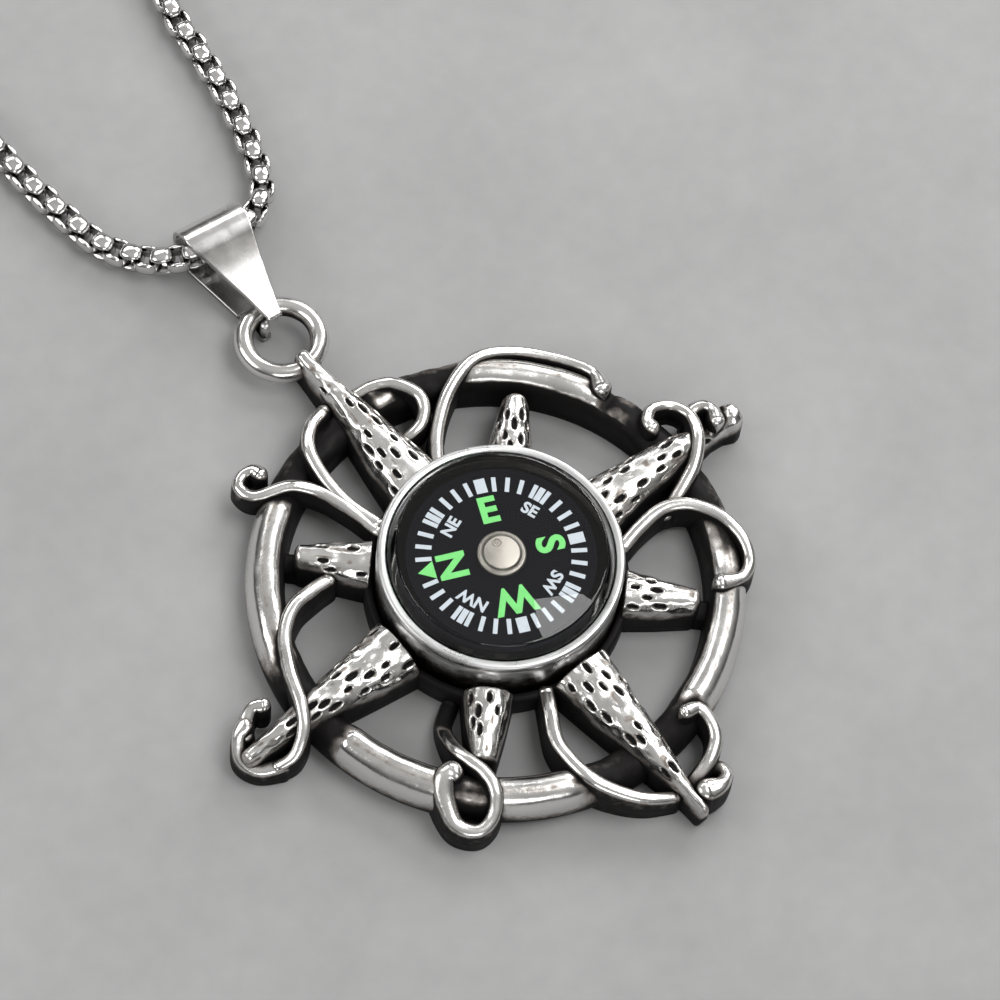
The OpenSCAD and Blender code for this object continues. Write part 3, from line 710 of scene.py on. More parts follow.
def add_spoke(pile, bearing, reach, sections, sizes, seed, columns):
    """One spoke with its pits, from the seat to its rounded tip."""
    start, step, end_run, open_reach = CASE_R + 0.4 * MM, 0.14 * MM, 0.6 * MM, 19.5 * MM

    def at(r, column):
        return blend_between(sections, min(1, (r - start) / (reach - start)), column)

    def width_at(r):
        return at(r, 1) * MM

    pits = spoke_pits(start, reach, width_at, seed)
    rows, hollows = [], []
    last = reach - end_run
    for r in np.linspace(start, last, round((last - start) / step) + 1):
        height = sizes.spoke_height - (sizes.spoke_height - sizes.tip_height) * at(r, 2)
        section = spoke_section(width_at(r), height, height * 0.45, columns)
        along = run_along(section)
        along -= along[-1] / 2
        edge = np.gradient(section, axis=0)
        outward = np.stack([-edge[:, 1], edge[:, 0]], axis=1)
        outward /= np.linalg.norm(outward, axis=1)[:, None]
        sink, lip = pit_shapes(pits, r, along)
        solid = np.array([(r, x, z) for x, z in section])
        grooved = lumps(solid * np.array([0.45, 1, 1]), 0.4 * MM, seed + 3)
        rough = lumps(solid, 0.95 * MM, seed) * 0.07 + grooved * 0.055
        crown = np.clip(section[:, 1] / height * 2.2 - 0.8, 0, 1)
        push = (rough + lip * 0.03) * MM * crown - sink * sizes.pit_depth
        points = section + outward * push[:, None]
        rows.append([turned((r, x, max(z, 0)), bearing) for x, z in points])
        # Painted shade on the walls near the floor, lighter outside the hoop, with patina and painted shade
        # in the grooves and pits
        low = np.clip(1.45 - section[:, 1] / (height * 0.55), 0, 1) * (1 if r < open_reach else 0.75)
        groove_patina_and_shade = np.clip(-grooved * 0.9 - 0.25, 0, 0.35)
        pitted = sink * (0.45 + 0.4 * wobble(r * 900))
        hollows.append(list(np.maximum(np.maximum(pitted, low), groove_patina_and_shade)))
    end = np.array(rows[-1])
    middle = end.mean(axis=0)
    for share, push in SPOKE_END:
        out = np.array(turned((push * MM, 0, 0), bearing))
        rows.append(middle + (end - middle) * share + out)
        # The rounded end takes at least some painted shade
        hollows.append(list(np.clip(hollows[-1], 0.25, 1)))
    pile.grid(rows, ends=True, hollows=hollows)


def add_web(pile, bearing, reach, sizes):
    """The low web that joins a short spoke's end to the hoop, dark all over with patina and painted shade."""
    height = sizes.spoke_height * 0.45
    section = spoke_section(2.1 * MM, height, height * 0.6, 16)
    rows = [
        [turned((r, x, z), bearing) for x, z in section]
        for r in np.linspace(reach - MM, sizes.hoop_radius - sizes.hoop_width / 2, 8)
    ]
    pile.grid(rows, ends=True, hollows=[[1.0] * len(section)] * len(rows))


def vine_ring(place, turn, width, low, crest, radius):
    """One ring of a vine's section, with the darkening each point gathers: patina and painted shade below the
    crest, heavier on sides facing inwards and inside the hoop.
    """
    steps, foot_flare, side_flare = 10, 1.16, 1.08
    half = width / 2
    side = (-math.sin(turn), math.cos(turn))
    dome = min(half * 0.9, crest - low)
    shoulder = crest - dome
    side_z = low + (shoulder - low) * 0.5
    outline = [(-foot_flare, low), (-side_flare, side_z)]
    for k in range(steps + 1):
        angle = math.pi * (1 - k / steps)
        outline.append((math.cos(angle), shoulder + dome * math.sin(angle)))
    outline += [(side_flare, side_z), (foot_flare, low)]
    row, hollow = [], []
    away = math.hypot(*place)
    for across, z in outline:
        x, y = place[0] + side[0] * across * half, place[1] + side[1] * across * half
        outwards = (x * side[0] + y * side[1]) / away * (1 if across > 0 else -1)
        depth = min(1, max(0, (shoulder + dome * 0.8 - z) / (0.55 * MM)))
        sheltered = 1 if outwards < 0.35 or away < radius * 0.93 else 0.6
        row.append((x, y, z))
        hollow.append(depth * sheltered)
    return row, hollow


def round_end(pile, ring, hollow, heading, low):
    """A rounded cap over a vine's last ring."""
    steps, least = 5, 0.05
    width = np.linalg.norm(ring[2] - ring[-3])
    foot = np.array([ring[:, 0].mean(), ring[:, 1].mean(), low])
    rows = [ring]
    for k in range(1, steps + 1):
        angle = QUARTER * k / steps
        share = max(math.cos(angle), least)
        shrink = np.array([share, share, 1 - 0.35 * (1 - share) ** 1.5])
        rows.append(foot + (ring - foot) * shrink + heading * width * 0.5 * math.sin(angle))
    pile.grid(rows, ends=True, hollows=[hollow] * len(rows))


def add_vine(pile, route, foot, end_width, swelling, sizes):
    """One vine, round on top and flared at its foot, with its rounded or thickened end."""
    step = 0.2
    radius, tall = sizes.hoop_radius, sizes.hoop_height
    marks = [turned((share * radius, 0, crest * tall), bearing) for share, bearing, crest in route]
    line = even_line(smooth_line(marks, 12), step * MM)
    low = foot * tall
    rows, hollows = [], []
    last = len(line) - 1
    for i, (x, y, crest) in enumerate(line):
        before, after = line[max(i - 1, 0)], line[min(i + 1, last)]
        turn = math.atan2(after[1] - before[1], after[0] - before[0])
        width = sizes.vine_root + (sizes.vine_tip - sizes.vine_root) * i / last
        if end_width:
            swell = max(0, 1 - (last - i) * step / swelling)
            width += (end_width * MM - width) * eased(swell)
            crest += 0.25 * MM * swell
        row, hollow = vine_ring((x, y), turn, width, low, crest, radius)
        # A vine that dips low under the others takes painted shade
        sunken = 0.85 * min(1, max(0, (0.5 - crest / tall) / 0.12))
        rows.append(row)
        hollows.append([max(value, sunken) for value in hollow])
    pile.grid(rows, ends=True, hollows=hollows)
    for i, way in ((0, -1), (last, 1)):
        near = line[min(i + 1, last)] - line[max(i - 1, 0)]
        heading = np.array([near[0], near[1], 0]) / math.hypot(near[0], near[1]) * way
        round_end(pile, np.array(rows[i]), hollows[i], heading, low)


def add_hoop(pile, sizes):
    """The hoop: a fat round bar that dips and roughens where spokes and vines cross it."""
    sides = 480
    bearings, levels = zip(*HOOP_LEVELS)
    section = np.array(smooth_line(HOOP_CORNERS, 2))
    inwards, upwards = section[:, 0], section[:, 1]
    rows, hollows = [], []
    for k in range(sides):
        turn = TWO_PI * k / sides - math.pi
        level = np.interp(math.degrees(turn), bearings, levels)
        r = sizes.hoop_radius - inwards * sizes.hoop_width
        z = upwards * sizes.hoop_height * level
        place = np.stack([r * math.cos(turn), r * math.sin(turn), z], axis=1)
        crown = np.clip(upwards * 3 - 0.6, 0, 1)
        dip = min(1, (1 - level) * 5)
        rough = lumps(place, 3.5 * MM, 2) * 0.06 + lumps(place, 1.1 * MM, 5) * (0.025 + 0.09 * dip)
        rough += lumps(place, 0.4 * MM, 7) * 0.045 * dip
        push = rough * MM * crown
        out = r + push * np.where(inwards > 0.5, -1, 1) * 0.6
        rows.append(np.stack([out * math.cos(turn), out * math.sin(turn), z + push], axis=1))
        # The inner edge and lower half take patina and painted shade, the band along the middle is a painted
        # reflection, and the dips take more painted shade
        inner = np.clip((inwards - 0.82) * 9, 0, 1)
        foot = np.clip((0.6 - upwards) * 1.6, 0, 0.7)
        reflection_band = 0.3 * np.exp(-((inwards - 0.42) / 0.11) ** 2)
        hollows.append(list(np.maximum(np.maximum(inner, foot), reflection_band) + dip * 0.5))
    pile.grid(rows, loop=True, hollows=hollows)


def add_seat(pile):
    """The floor and low ring of the seat that holds the compass."""
    low, high = CASE_LOW - 0.1 * MM, CASE_LOW + 1.7 * MM
    outer, inner = CASE_R + 0.95 * MM, CASE_R + 0.2 * MM
    # corners as (radius, height, darkening gathered: patina and painted shade round and under the case)
    profile = [
        (0, 0, 0.3), (outer - 0.1 * MM, 0, 0.3), (outer, 0.12 * MM, 0.5), (outer, high - 0.25 * MM, 0.75),
        (outer - 0.12 * MM, high - 0.06 * MM, 0.75), (outer - 0.3 * MM, high, 0.75),
        (inner + 0.15 * MM, high, 0.85), (inner, high - 0.15 * MM, 1), (inner, low, 1), (0, low, 1),
    ]
    pile.lathe([corner[:2] for corner in profile], 160, hollows=[corner[2] for corner in profile])


def add_loop(pile, sizes, centre_y, centre_z):
    """The hanging loop at the north spoke's tip, a little stouter inwards than the casting's."""
    around, sides = 140, 22
    half_w, half_h, middle_r = sizes.loop_wire / 2 + 0.1 * MM, 0.98 * MM, sizes.loop_radius - 0.08 * MM
    rows, hollows = [], []
    for k in range(around):
        turn = TWO_PI * k / around
        row, hollow = [], []
        for m in range(sides):
            angle = TWO_PI * m / sides
            r = middle_r + half_w * math.cos(angle)
            x, y = r * math.cos(turn), centre_y + r * math.sin(turn)
            row.append((x, y, centre_z + half_h * math.sin(angle)))
            # The inner side and underside take patina and painted shade
            inwards, downwards = max(0, -math.cos(angle)), max(0, 0.75 - math.sin(angle))
            hollow.append(min(1, 0.95 * inwards * downwards + 0.5 * max(0, -math.sin(angle) - 0.1)))
        row = np.array(row)
        middle = row.mean(axis=0)
        away = (row - middle) / np.linalg.norm(row - middle, axis=1)[:, None]
        rows.append(row + away * (lumps(row, 1.3 * MM, 4) * 0.03 * MM)[:, None])
        hollows.append(hollow)
    pile.grid(rows, loop=True, hollows=hollows)


def loop_place(sizes):
    """Centre of the hanging loop as (y, z), from the casting's north spoke."""
    casting_share, centre_z = 0.987, 2.0 * MM
    centre_y = sizes.spoke_reach * casting_share + sizes.loop_radius - sizes.loop_wire / 4
    return centre_y, centre_z


class PENDANT_OT_finishes(bpy.types.Operator):
    """Make the finishes that the pieces share"""

    bl_idname = "pendant.finishes"
    bl_label = "Finishes"

    def execute(self, context):
        finishes = context.scene.pendant_finishes
        steel, shade = finishes.steel, finishes.shade
        silver_finish(finishes)
        steel_finish("bright_steel", steel, shade, (0.17, 0.3), (3200, 160, 3200), 0.15)
        steel_finish("chain_steel", steel, shade, (0.1, 0.2), (900, 900, 900), 0.15, 0.78)
        steel_finish("case_metal", finishes.case, shade, (0.26, 0.42), (3000, 3000, 150), 0.3, 0.6, 0.6)
        steel_finish("cap_metal", finishes.cap, shade, (0.36, 0.46), (1500, 1500, 1500), 0.08)
        print_finish("card_black", finishes.card, 0)
        print_finish("white_ink", finishes.white_print, 0)
        # The green print gets a faint painted glow
        print_finish("green_ink", finishes.green_print, 0.05)
        crystal_finish()
        floor_finish(finishes)
        return {"FINISHED"}


class PENDANT_OT_wheel(bpy.types.Operator):
    """Build the cast wheel with its spokes, vines, seat and hanging loop"""

    bl_idname = "pendant.wheel"
    bl_label = "Cast wheel"

    def execute(self, context):
        sizes = context.scene.pendant_wheel
        pile = Pile()
        add_hoop(pile, sizes)
        add_seat(pile)
        for seed, (bearing, share, sections) in enumerate(LONG_SPOKES, 1):
            add_spoke(pile, bearing, sizes.spoke_reach * share, sections, sizes, seed, 64)
        for seed, (bearing, share) in enumerate(SHORT_SPOKES, 11):
            add_spoke(pile, bearing, sizes.stub_reach * share, SHORT_SECTIONS, sizes, seed, 52)
            add_web(pile, bearing, sizes.stub_reach * share, sizes)
        for route, foot, end_width, swelling in VINES:
            add_vine(pile, route, foot, end_width, swelling, sizes)
        add_loop(pile, sizes, *loop_place(sizes))
        piece = pile.make("cast_wheel", finished("antique_silver"))
        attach(piece, ROOT)
        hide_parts("casting")
        return {"FINISHED"}


class PENDANT_OT_case(bpy.types.Operator):
    """Build the compass's turned metal case"""

    bl_idname = "pendant.case"
    bl_label = "Compass case"

    def execute(self, context):
        outer, low, rim = CASE_R, CASE_LOW, RIM_Z
        inner, floor_z, groove_r = outer - 0.8 * MM, low + 0.6 * MM, outer - 0.05 * MM
        rounding, steps = 0.3 * MM, 6
        # corners as (radius, height, painted shade gathered)
        profile = [
            (0, low, 0.8), (outer - 0.4 * MM, low, 0.8), (outer - 0.1 * MM, low + 0.12 * MM, 0.8),
            (outer, low + 0.4 * MM, 0.9), (outer, rim - 3.4 * MM, 0.75), (outer, rim - 1.8 * MM, 0.5),
            (outer, rim - 0.8 * MM, 0.32), (groove_r, rim - 0.74 * MM, 0.6),
            (groove_r, rim - 0.66 * MM, 0.5), (outer, rim - 0.6 * MM, 0.05),
        ]
        for k in range(steps + 1):
            angle = QUARTER * k / steps
            out, up = rounding * (math.cos(angle) - 1), rounding * (math.sin(angle) - 1)
            profile.append((outer + out, rim + up, 0))
        profile += [
            (inner + 0.1 * MM, rim, 0), (inner, rim - 0.1 * MM, 0.6), (inner, rim - 0.4 * MM, 1),
            (inner, floor_z, 1), (0, floor_z, 1),
        ]
        pile = Pile()
        pile.lathe([corner[:2] for corner in profile], 256, hollows=[corner[2] for corner in profile])
        piece = pile.make("compass_case_turned", finished("case_metal"))
        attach(piece, ROOT)
        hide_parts("compass_case")
        return {"FINISHED"}


class PENDANT_OT_crystal(bpy.types.Operator):
    """Build the clear crystal, filled with its liquid"""

    bl_idname = "pendant.crystal"
    bl_label = "Crystal"

    def execute(self, context):
        face, dome, steps = LENS_R - 0.8 * MM, 0.5 * MM, 9
        dome_r = (face ** 2 + dome ** 2) / (2 * dome)
        edge_z = LENS_TOP - dome
        profile = [
            (0, LENS_LOW), (LENS_R - 0.2 * MM, LENS_LOW), (LENS_R, LENS_LOW + 0.2 * MM),
            (LENS_R, RIM_Z - 0.02 * MM), (LENS_R - 0.08 * MM, RIM_Z + 0.14 * MM),
            (face + 0.14 * MM, edge_z - 0.2 * MM), (face + 0.06 * MM, edge_z - 0.04 * MM),
            (face - 0.06 * MM, edge_z + 0.01 * MM),
        ]
        for k in range(steps, -1, -1):
            r = (face - 0.2 * MM) * k / steps
            profile.append((r, LENS_TOP - dome_r + math.sqrt(dome_r ** 2 - r ** 2)))
        pile = Pile()
        pile.lathe(profile, 256)
        piece = pile.make("crystal_dome", finished("crystal"))
        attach(piece, ROOT)
        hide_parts("compass_lens")
        return {"FINISHED"}


def letter_piece(name, word, height, place, material, tall):
    """A word printed on the card, its middle at a place that also turns it."""
    font = bpy.data.curves.new(name, "FONT")
    font.body = word
    font.size = height * 1.27  # makes a capital as tall as the height
    font.align_x = "CENTER"
    font.offset = height * 0.045  # thickens the strokes
    font.extrude = tall / 2
    font.resolution_u = 6
    text = bpy.data.objects.new(name, font)
    bpy.context.scene.collection.objects.link(text)
    bpy.context.view_layer.update()
    mesh = bpy.data.meshes.new_from_object(text.evaluated_get(bpy.context.evaluated_depsgraph_get()))
    bpy.data.objects.remove(text)
    bpy.data.curves.remove(font)
    heights = [v.co.y for v in mesh.vertices]
    middle = (min(heights) + max(heights)) / 2
    mesh.transform(place @ Matrix.Rotation(-QUARTER, 4, "Z") @ Matrix.Translation((0, -middle, 0)))
    return add_object(name, mesh, material)


class PENDANT_OT_card(bpy.types.Operator):
    """Blacken the card and print its ticks and letters"""

    bl_idname = "pendant.card"
    bl_label = "Card and print"

    def execute(self, context):
        sizes = context.scene.pendant_dial
        repaint("compass_card", finished("card_black"))
        low, tall = CARD_TOP + 0.005 * MM, 0.02 * MM
        out, base = sizes.tick_reach, sizes.tick_reach - sizes.tick_length
        arrow_base, arrow_half = out - 1.5 * MM, 0.85 * MM
        wide_halves = {0: 0.5 * MM, 45: 0.275 * MM}  # half widths of the ticks at the eight winds
        white, green = Pile(), Pile()
        arrow = ((arrow_base, -arrow_half), (out, 0), (arrow_base, arrow_half))
        green.plate(self.set_out(arrow, sizes.north), low, low + tall)
        for degrees in sorted(set(range(10, 360, 10)) | {45, 135, 225, 315}):
            half = wide_halves.get(degrees % 90, sizes.tick_width / 2)
            bar = ((base, -half), (out, -half), (out, half), (base, half))
            white.plate(self.set_out(bar, sizes.north - math.radians(degrees)), low, low + tall)
        prints = [
            white.make("ticks_white", finished("white_ink"), flat=True),
            green.make("arrow_green", finished("green_ink"), flat=True),
        ]
        for eighth, word in enumerate(("N", "NE", "E", "SE", "S", "SW", "W", "NW")):
            large = len(word) == 1
            height = sizes.letter_height if large else sizes.small_height
            reach = base - (1.68 if large else 1.02) * MM
            ink = finished("green_ink" if large else "white_ink")
            turn = Matrix.Rotation(sizes.north - TWO_PI * eighth / 8, 4, "Z")
            place = turn @ Matrix.Translation((reach, 0, low + tall / 2))
            prints.append(letter_piece("letter_" + word.lower(), word, height, place, ink, tall))
        for piece in prints:
            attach(piece, DIAL)
        return {"FINISHED"}

    def set_out(self, corners, turn):
        """Corners given as (reach, across), set out at a bearing."""
        along, aside = math.cos(turn), math.sin(turn)
        return [(reach * along - across * aside, reach * aside + across * along) for reach, across in corners]


class PENDANT_OT_cap(bpy.types.Operator):
    """Build the cap over the card's bearing"""

    bl_idname = "pendant.cap"
    bl_label = "Cap"

    def execute(self, context):
        flange, boss, hub_r = CAP_R, CAP_R * 0.79, CAP_R * 0.55
        bore, bore_top = 0.42 * MM, CAP_LOW + MM
        base = CARD_TOP + 0.05 * MM
        step = base + 0.4 * MM
        rounding, rounding_z, steps = 0.18 * MM, CAP_TOP - 0.3 * MM, 5
        profile = [
            (0, base), (flange - 0.1 * MM, base), (flange, base + 0.1 * MM), (flange, step - 0.14 * MM),
            (flange - 0.05 * MM, step - 0.04 * MM), (flange - 0.16 * MM, step),
            (boss + 0.08 * MM, step + 0.02 * MM), (boss, step + 0.1 * MM), (boss - 0.04 * MM, rounding_z),
        ]
        for k in range(1, steps + 1):
            angle = QUARTER * k / steps
            r = boss - 0.22 * MM + rounding * math.cos(angle)
            profile.append((r, rounding_z + rounding * math.sin(angle)))
        profile += [
            (boss * 0.5, CAP_TOP - 0.06 * MM), (boss * 0.1, CAP_TOP - 0.01 * MM), (0, CAP_TOP - 0.01 * MM),
        ]
        hub = [
            (0, bore_top), (bore, bore_top), (bore, CAP_LOW), (hub_r, CAP_LOW), (hub_r, base + 0.1 * MM),
            (0, base + 0.1 * MM),
        ]
        pile = Pile()
        pile.lathe(profile, 96)
        pile.lathe(hub, 48)
        # the mark on the cap's face: a ring and a dot, as (radius, thickness)
        for radius, wire in ((0.34 * MM, 0.07 * MM), (0.09 * MM, 0.08 * MM)):
            ring = [
                (radius + wire * math.cos(TWO_PI * k / 8), CAP_TOP + wire * (math.sin(TWO_PI * k / 8) - 1))
                for k in range(9)
            ]
            pile.lathe(ring, 32, (0.2 * MM, 0.95 * MM))
        piece = pile.make("bearing_cap", finished("cap_metal"))
        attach(piece, DIAL)
        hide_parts("card_cap")
        return {"FINISHED"}


class PENDANT_OT_bail(bpy.types.Operator):
    """Build the folded bail with its two prongs"""

    bl_idname = "pendant.bail"
    bl_label = "Bail"

    def execute(self, context):
        wheel, sizes = context.scene.pendant_wheel, context.scene.pendant_chain
        loop_y, loop_z = loop_place(wheel)
        strip, full = sizes.bail_strip, sizes.bail_width
        prong_r, swing = 0.45 * MM, -6.3
        back_z = 0.15 * MM + strip / 2
        fold_mid = sizes.fold_radius + strip / 2
        fold_y, fold_z = 11.4 * MM, back_z + fold_mid
        tip_y = wheel.loop_radius - wheel.loop_wire / 2 - prong_r * 2.9
        tip_z = loop_z + 1.3 * MM + strip / 2
        tongue_y = wheel.loop_radius + wheel.loop_wire / 2 + 0.3 * MM
        front_widths = ((0, 1.4 * MM), (0.3, 2.75 * MM), (1, full))
        back_widths = ((0, full), (0.86, 3.95 * MM), (1, 3.6 * MM))
        turns = 24
        path = []
        for share in np.linspace(0, 1, 26):
            y = tip_y + (fold_y - tip_y) * share
            shift = 0.25 * MM * max(0, 1 - share / 0.6)
            z = tip_z + (fold_z + fold_mid - tip_z) * (share + 0.06 * math.sin(math.pi * share))
            width, patina_and_shade = blend_between(front_widths, share, 1), blend_between(BAIL_PATCH, share, 1)
            path.append((y, z, width, shift, patina_and_shade))
        # The fold's lower half, the back leaf and its tongue take painted shade from the front leaf above
        # them
        for k in range(1, turns):
            angle = QUARTER - math.pi * k / turns
            y, z = fold_y + fold_mid * math.cos(angle), fold_z + fold_mid * math.sin(angle)
            path.append((y, z, full, 0, 0.7 * max(0, 2 * k / turns - 1)))
        for share in np.linspace(0, 1, 20):
            y = fold_y + (tongue_y - fold_y) * share
            path.append((y, back_z, blend_between(back_widths, share, 1), 0, 0.64))
        tongue = ((tongue_y + 0.9 * MM, 1.17), (tongue_y, 1.17), (tip_y + 0.3 * MM, 1.1), (tip_y, 0.8))
        pile = Pile()
        self.strip_rows(pile, path, strip)
        self.strip_rows(pile, [(y, back_z, w * MM, -0.6 * MM, 0.6) for y, w in tongue], strip * 0.96)
        self.prong(pile, (0.25 * MM, tip_y + prong_r), prong_r, tip_z, loop_z + 0.4 * MM)
        self.prong(pile, (-0.6 * MM, tip_y + prong_r), prong_r, back_z, loop_z + 0.5 * MM)
        piece = pile.make("folded_bail", finished("bright_steel"))
        turn = Matrix.Rotation(math.radians(swing), 4, "Z")
        piece.data.transform(Matrix.Translation((0, loop_y, 0)) @ turn)
        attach(piece, ROOT)
        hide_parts("bail")
        return {"FINISHED"}

    def strip_rows(self, pile, path, strip):
        """A bent strip with crisp edges along a path of (y, z, width, shift, darkening gathered)."""
        # half of the section as (side, inset in mm, share of half the thickness)
        half = (
            (-1, 0, -0.6), (-1, 0, 0.6), (-1, 0.05, 1), (-1, 0.2, 1), (0, 0, 1), (1, 0.2, 1), (1, 0.05, 1),
        )
        corners = half + tuple((-side, inset, -up) for side, inset, up in half)
        # The strip's side edges take painted shade
        edge_shade = 0.7
        rows, hollows = [], []
        last = len(path) - 1
        for i, (y, z, width, shift, patina_and_shade) in enumerate(path):
            before, after = path[max(i - 1, 0)], path[min(i + 1, last)]
            run = math.hypot(after[0] - before[0], after[1] - before[1])
            normal = ((after[1] - before[1]) / run, -(after[0] - before[0]) / run)
            row = []
            for side, inset, up in corners:
                across = shift + side * (width / 2 - inset * MM)
                lift = up * strip / 2
                row.append((across, y + normal[0] * lift, z + normal[1] * lift))
            rows.append(row)
            hollows.append([max(patina_and_shade, edge_shade if abs(up) < 1 else 0) for _, _, up in corners])
        pile.grid(rows, ends=True, hollows=hollows)

    def prong(self, pile, centre, radius, start_z, end_z):
        """A short prong with a rounded end."""
        rounding = math.copysign(0.3 * MM, end_z - start_z)
        steps = 5
        profile = [(0, start_z), (radius, start_z), (radius, end_z - rounding)]
        for k in range(1, steps):
            angle = QUARTER * k / steps
            profile.append((radius * math.cos(angle), end_z - rounding * (1 - math.sin(angle))))
        profile.append((0, end_z))
        pile.lathe(profile, 24, centre)


def link_shape(sizes):
    """Rows of one box link, a loop of flat strip, as (along, across, out) from its middle."""
    steps, least_half = 24, 0.5 * MM
    flat = (sizes.thickness - sizes.strip) / 2
    corners = ((-1, 1), (-0.5, 1), (0, 1), (0.5, 1), (1, 1), (1, -1), (0, -1), (-1, -1))
    rows = []
    for k in range(steps):
        angle = TWO_PI * (k + 0.5) / steps
        away, up = math.cos(angle), math.sin(angle)
        along, out = signed_power(away, 0.6) * sizes.link_reach, signed_power(up, 0.6) * flat
        normal = Vector((signed_power(away, 1.4), signed_power(up, 1.4))).normalized()
        taper = max(0, 1 - (along / sizes.link_reach) ** 2) ** 0.35
        half = max(least_half, sizes.link_width / 2 * taper)
        row = []
        for across, side in corners:
            x = across * half
            drop = 0.5 * (flat - math.sqrt(flat ** 2 - x ** 2)) * abs(up) ** 0.6
            level = side * sizes.strip / 2
            row.append((along + normal[0] * level, x, out + normal[1] * level - math.copysign(drop, out)))
        rows.append(row)
    return rows


class PENDANT_OT_chain(bpy.types.Operator):
    """Build the chain's interlocking box links along its route"""

    bl_idname = "pendant.chain"
    bl_label = "Chain"

    def execute(self, context):
        wheel, sizes = context.scene.pendant_wheel, context.scene.pendant_chain
        loop_y, _ = loop_place(wheel)
        rest = 1.35 * MM
        marks = [(x * MM, loop_y + y * MM, z * MM + rest) for x, y, z in CHAIN_ROUTE]
        line = even_line(smooth_line(marks, 40), sizes.pitch)
        shape = link_shape(sizes)
        pile = Pile()
        for i in range(1, len(line) - 1):
            tangent = Vector(line[i + 1] - line[i - 1]).normalized()
            side = tangent.cross(Vector((0, 0, 1))).normalized()
            up = side.cross(tangent)
            if i % 2:
                side, up = up, -side
            middle = Vector(line[i])
            rows = [[middle + tangent * a + side * b + up * c for a, b, c in row] for row in shape]
            pile.grid(rows, loop=True)
        piece = pile.make("box_chain", finished("chain_steel"))
        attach(piece, ROOT)
        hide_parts("chain")
        return {"FINISHED"}


class PENDANT_OT_small_metal(bpy.types.Operator):
    """Finish the clasp and the hidden pin"""

    bl_idname = "pendant.small_metal"
    bl_label = "Clasp and pin"

    def execute(self, context):
        for name in ("clasp", "pivot_pin"):
            repaint(name, finished("bright_steel"))
        return {"FINISHED"}


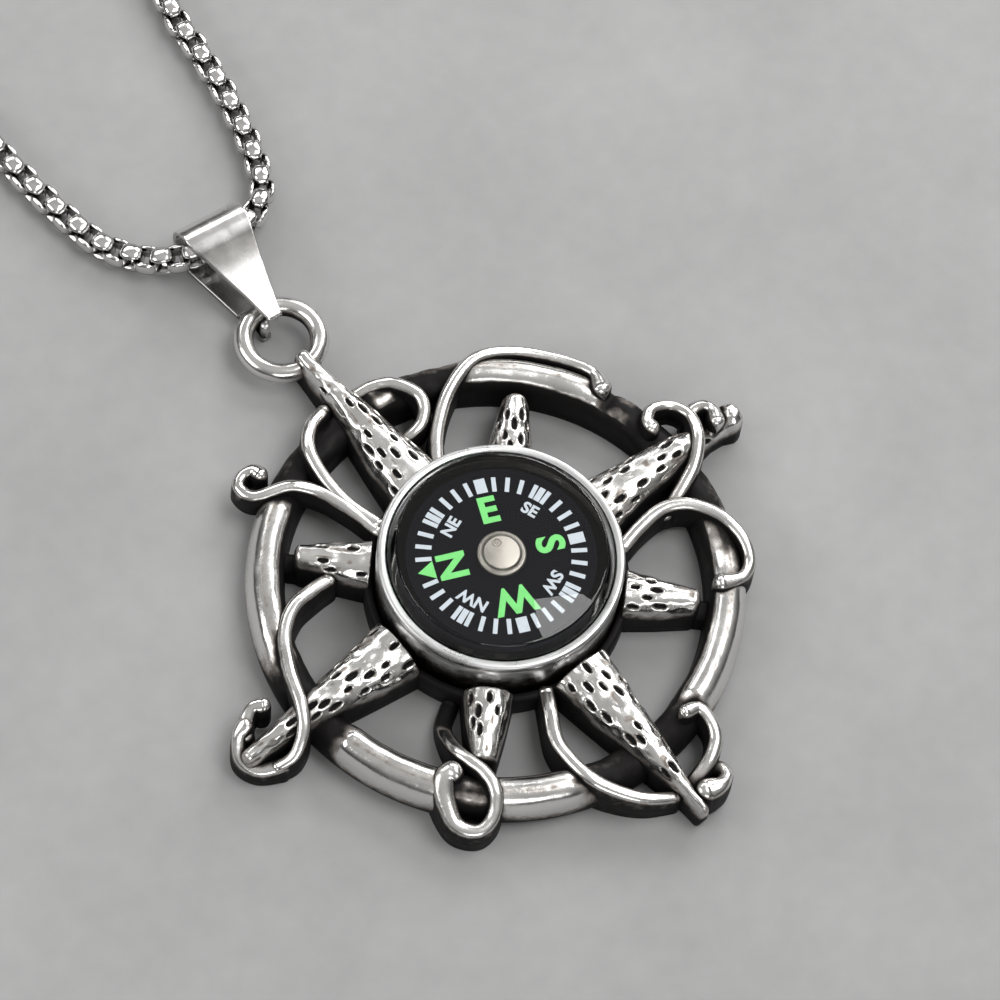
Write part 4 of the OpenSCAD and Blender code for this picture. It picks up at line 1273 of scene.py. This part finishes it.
class PENDANT_OT_stage(bpy.types.Operator):
    """Set out the floor, the lamps and the camera"""

    bl_idname = "pendant.stage"
    bl_label = "Stage"

    def execute(self, context):
        scene = context.scene
        size = 3.0
        mesh = bpy.data.meshes.new("floor")
        corners = [(-size, -size, 0), (size, -size, 0), (size, size, 0), (-size, size, 0)]
        mesh.from_pydata(corners, [], [(0, 1, 2, 3)])
        floor = add_object("floor", mesh, finished("floor_paint"))
        self.camera(scene)
        self.lamps(scene)
        self.room(scene)
        scene.view_settings.view_transform = "Standard"
        return {"FINISHED"}

    def camera(self, scene):
        """The camera that was fitted to the photograph."""
        right = Vector((0.76806, -0.63585, 0.07596))
        down = Vector((-0.54551, -0.71179, -0.44245))
        ahead = Vector((0.33540, 0.29840, -0.89357))
        place = Vector((-95.744, -83.912, 271.774)) * MM
        data = bpy.data.cameras.new("camera")
        data.sensor_width = 36
        data.lens = 119.87
        data.clip_start = 0.01
        camera = bpy.data.objects.new("camera", data)
        turn = Matrix((right, -down, -ahead)).transposed()
        camera.matrix_world = Matrix.Translation(place) @ turn.to_4x4()
        scene.collection.objects.link(camera)
        scene.camera = camera

    def lamps(self, scene):
        """Soft boxes round the pendant."""
        target = Vector((0, 10 * MM, 0))
        for name, bearing, rise, away, (wide, tall), power in LAMPS:
            level = math.cos(math.radians(rise))
            place = Vector(turned((level, 0, math.sin(math.radians(rise))), bearing)) * away
            data = bpy.data.lights.new(name, "AREA")
            data.shape = "RECTANGLE"
            data.size = wide
            data.size_y = tall
            data.energy = power
            lamp = bpy.data.objects.new(name, data)
            lamp.location = place
            lamp.rotation_euler = (target - place).to_track_quat("-Z", "Y").to_euler()
            scene.collection.objects.link(lamp)

    def room(self, scene):
        """A dim room, brighter overhead."""
        world = bpy.data.worlds.new("room")
        world.use_nodes = True
        wiring = Wiring(world.node_tree)
        split = wiring.add("SeparateXYZ", Vector=wiring.add("TexCoord").outputs["Generated"])
        fade = wiring.add(
            "MapRange", Value=split.outputs["Z"], From_Min=0.15, From_Max=0.95, To_Min=0.04, To_Max=0.48)
        wiring.fill(
            wiring.nodes["Background"], Color=(1, 0.99, 0.975, 1), Strength=fade.outputs["Result"])
        scene.world = world


class PENDANT_PT_panel(bpy.types.Panel):
    """The pendant's steps, in the 3D view's sidebar"""

    bl_idname = "PENDANT_PT_panel"
    bl_label = "Compass pendant"
    bl_space_type = "VIEW_3D"
    bl_region_type = "UI"
    bl_category = "Compass pendant"

    def draw(self, context):
        layout = self.layout
        for operator in STEPS:
            layout.operator(operator.bl_idname)
        for name in POINTERS:
            group = getattr(context.scene, name)
            column = layout.column(align=True)
            for size in group.__annotations__:
                column.prop(group, size)


STEPS = (
    PENDANT_OT_finishes, PENDANT_OT_wheel, PENDANT_OT_case, PENDANT_OT_crystal, PENDANT_OT_card,
    PENDANT_OT_cap, PENDANT_OT_bail, PENDANT_OT_chain, PENDANT_OT_small_metal, PENDANT_OT_stage,
)
POINTERS = {
    "pendant_wheel": WheelSizes, "pendant_dial": DialSizes,
    "pendant_chain": ChainSizes, "pendant_finishes": Finishes,
}
CLASSES = (*POINTERS.values(), *STEPS, PENDANT_PT_panel)


def register():
    for item in CLASSES:
        bpy.utils.register_class(item)
    for name, group in POINTERS.items():
        setattr(bpy.types.Scene, name, PointerProperty(type=group))


def unregister():
    for name in POINTERS:
        delattr(bpy.types.Scene, name)
    for item in reversed(CLASSES):
        bpy.utils.unregister_class(item)


def main():
    """Register the add-on and run its steps in order."""
    register()
    bpy.ops.pendant.finishes()
    bpy.ops.pendant.wheel()
    bpy.ops.pendant.case()
    bpy.ops.pendant.crystal()
    bpy.ops.pendant.card()
    bpy.ops.pendant.cap()
    bpy.ops.pendant.bail()
    bpy.ops.pendant.chain()
    bpy.ops.pendant.small_metal()
    bpy.ops.pendant.stage()


if __name__ == "__main__":
    main()
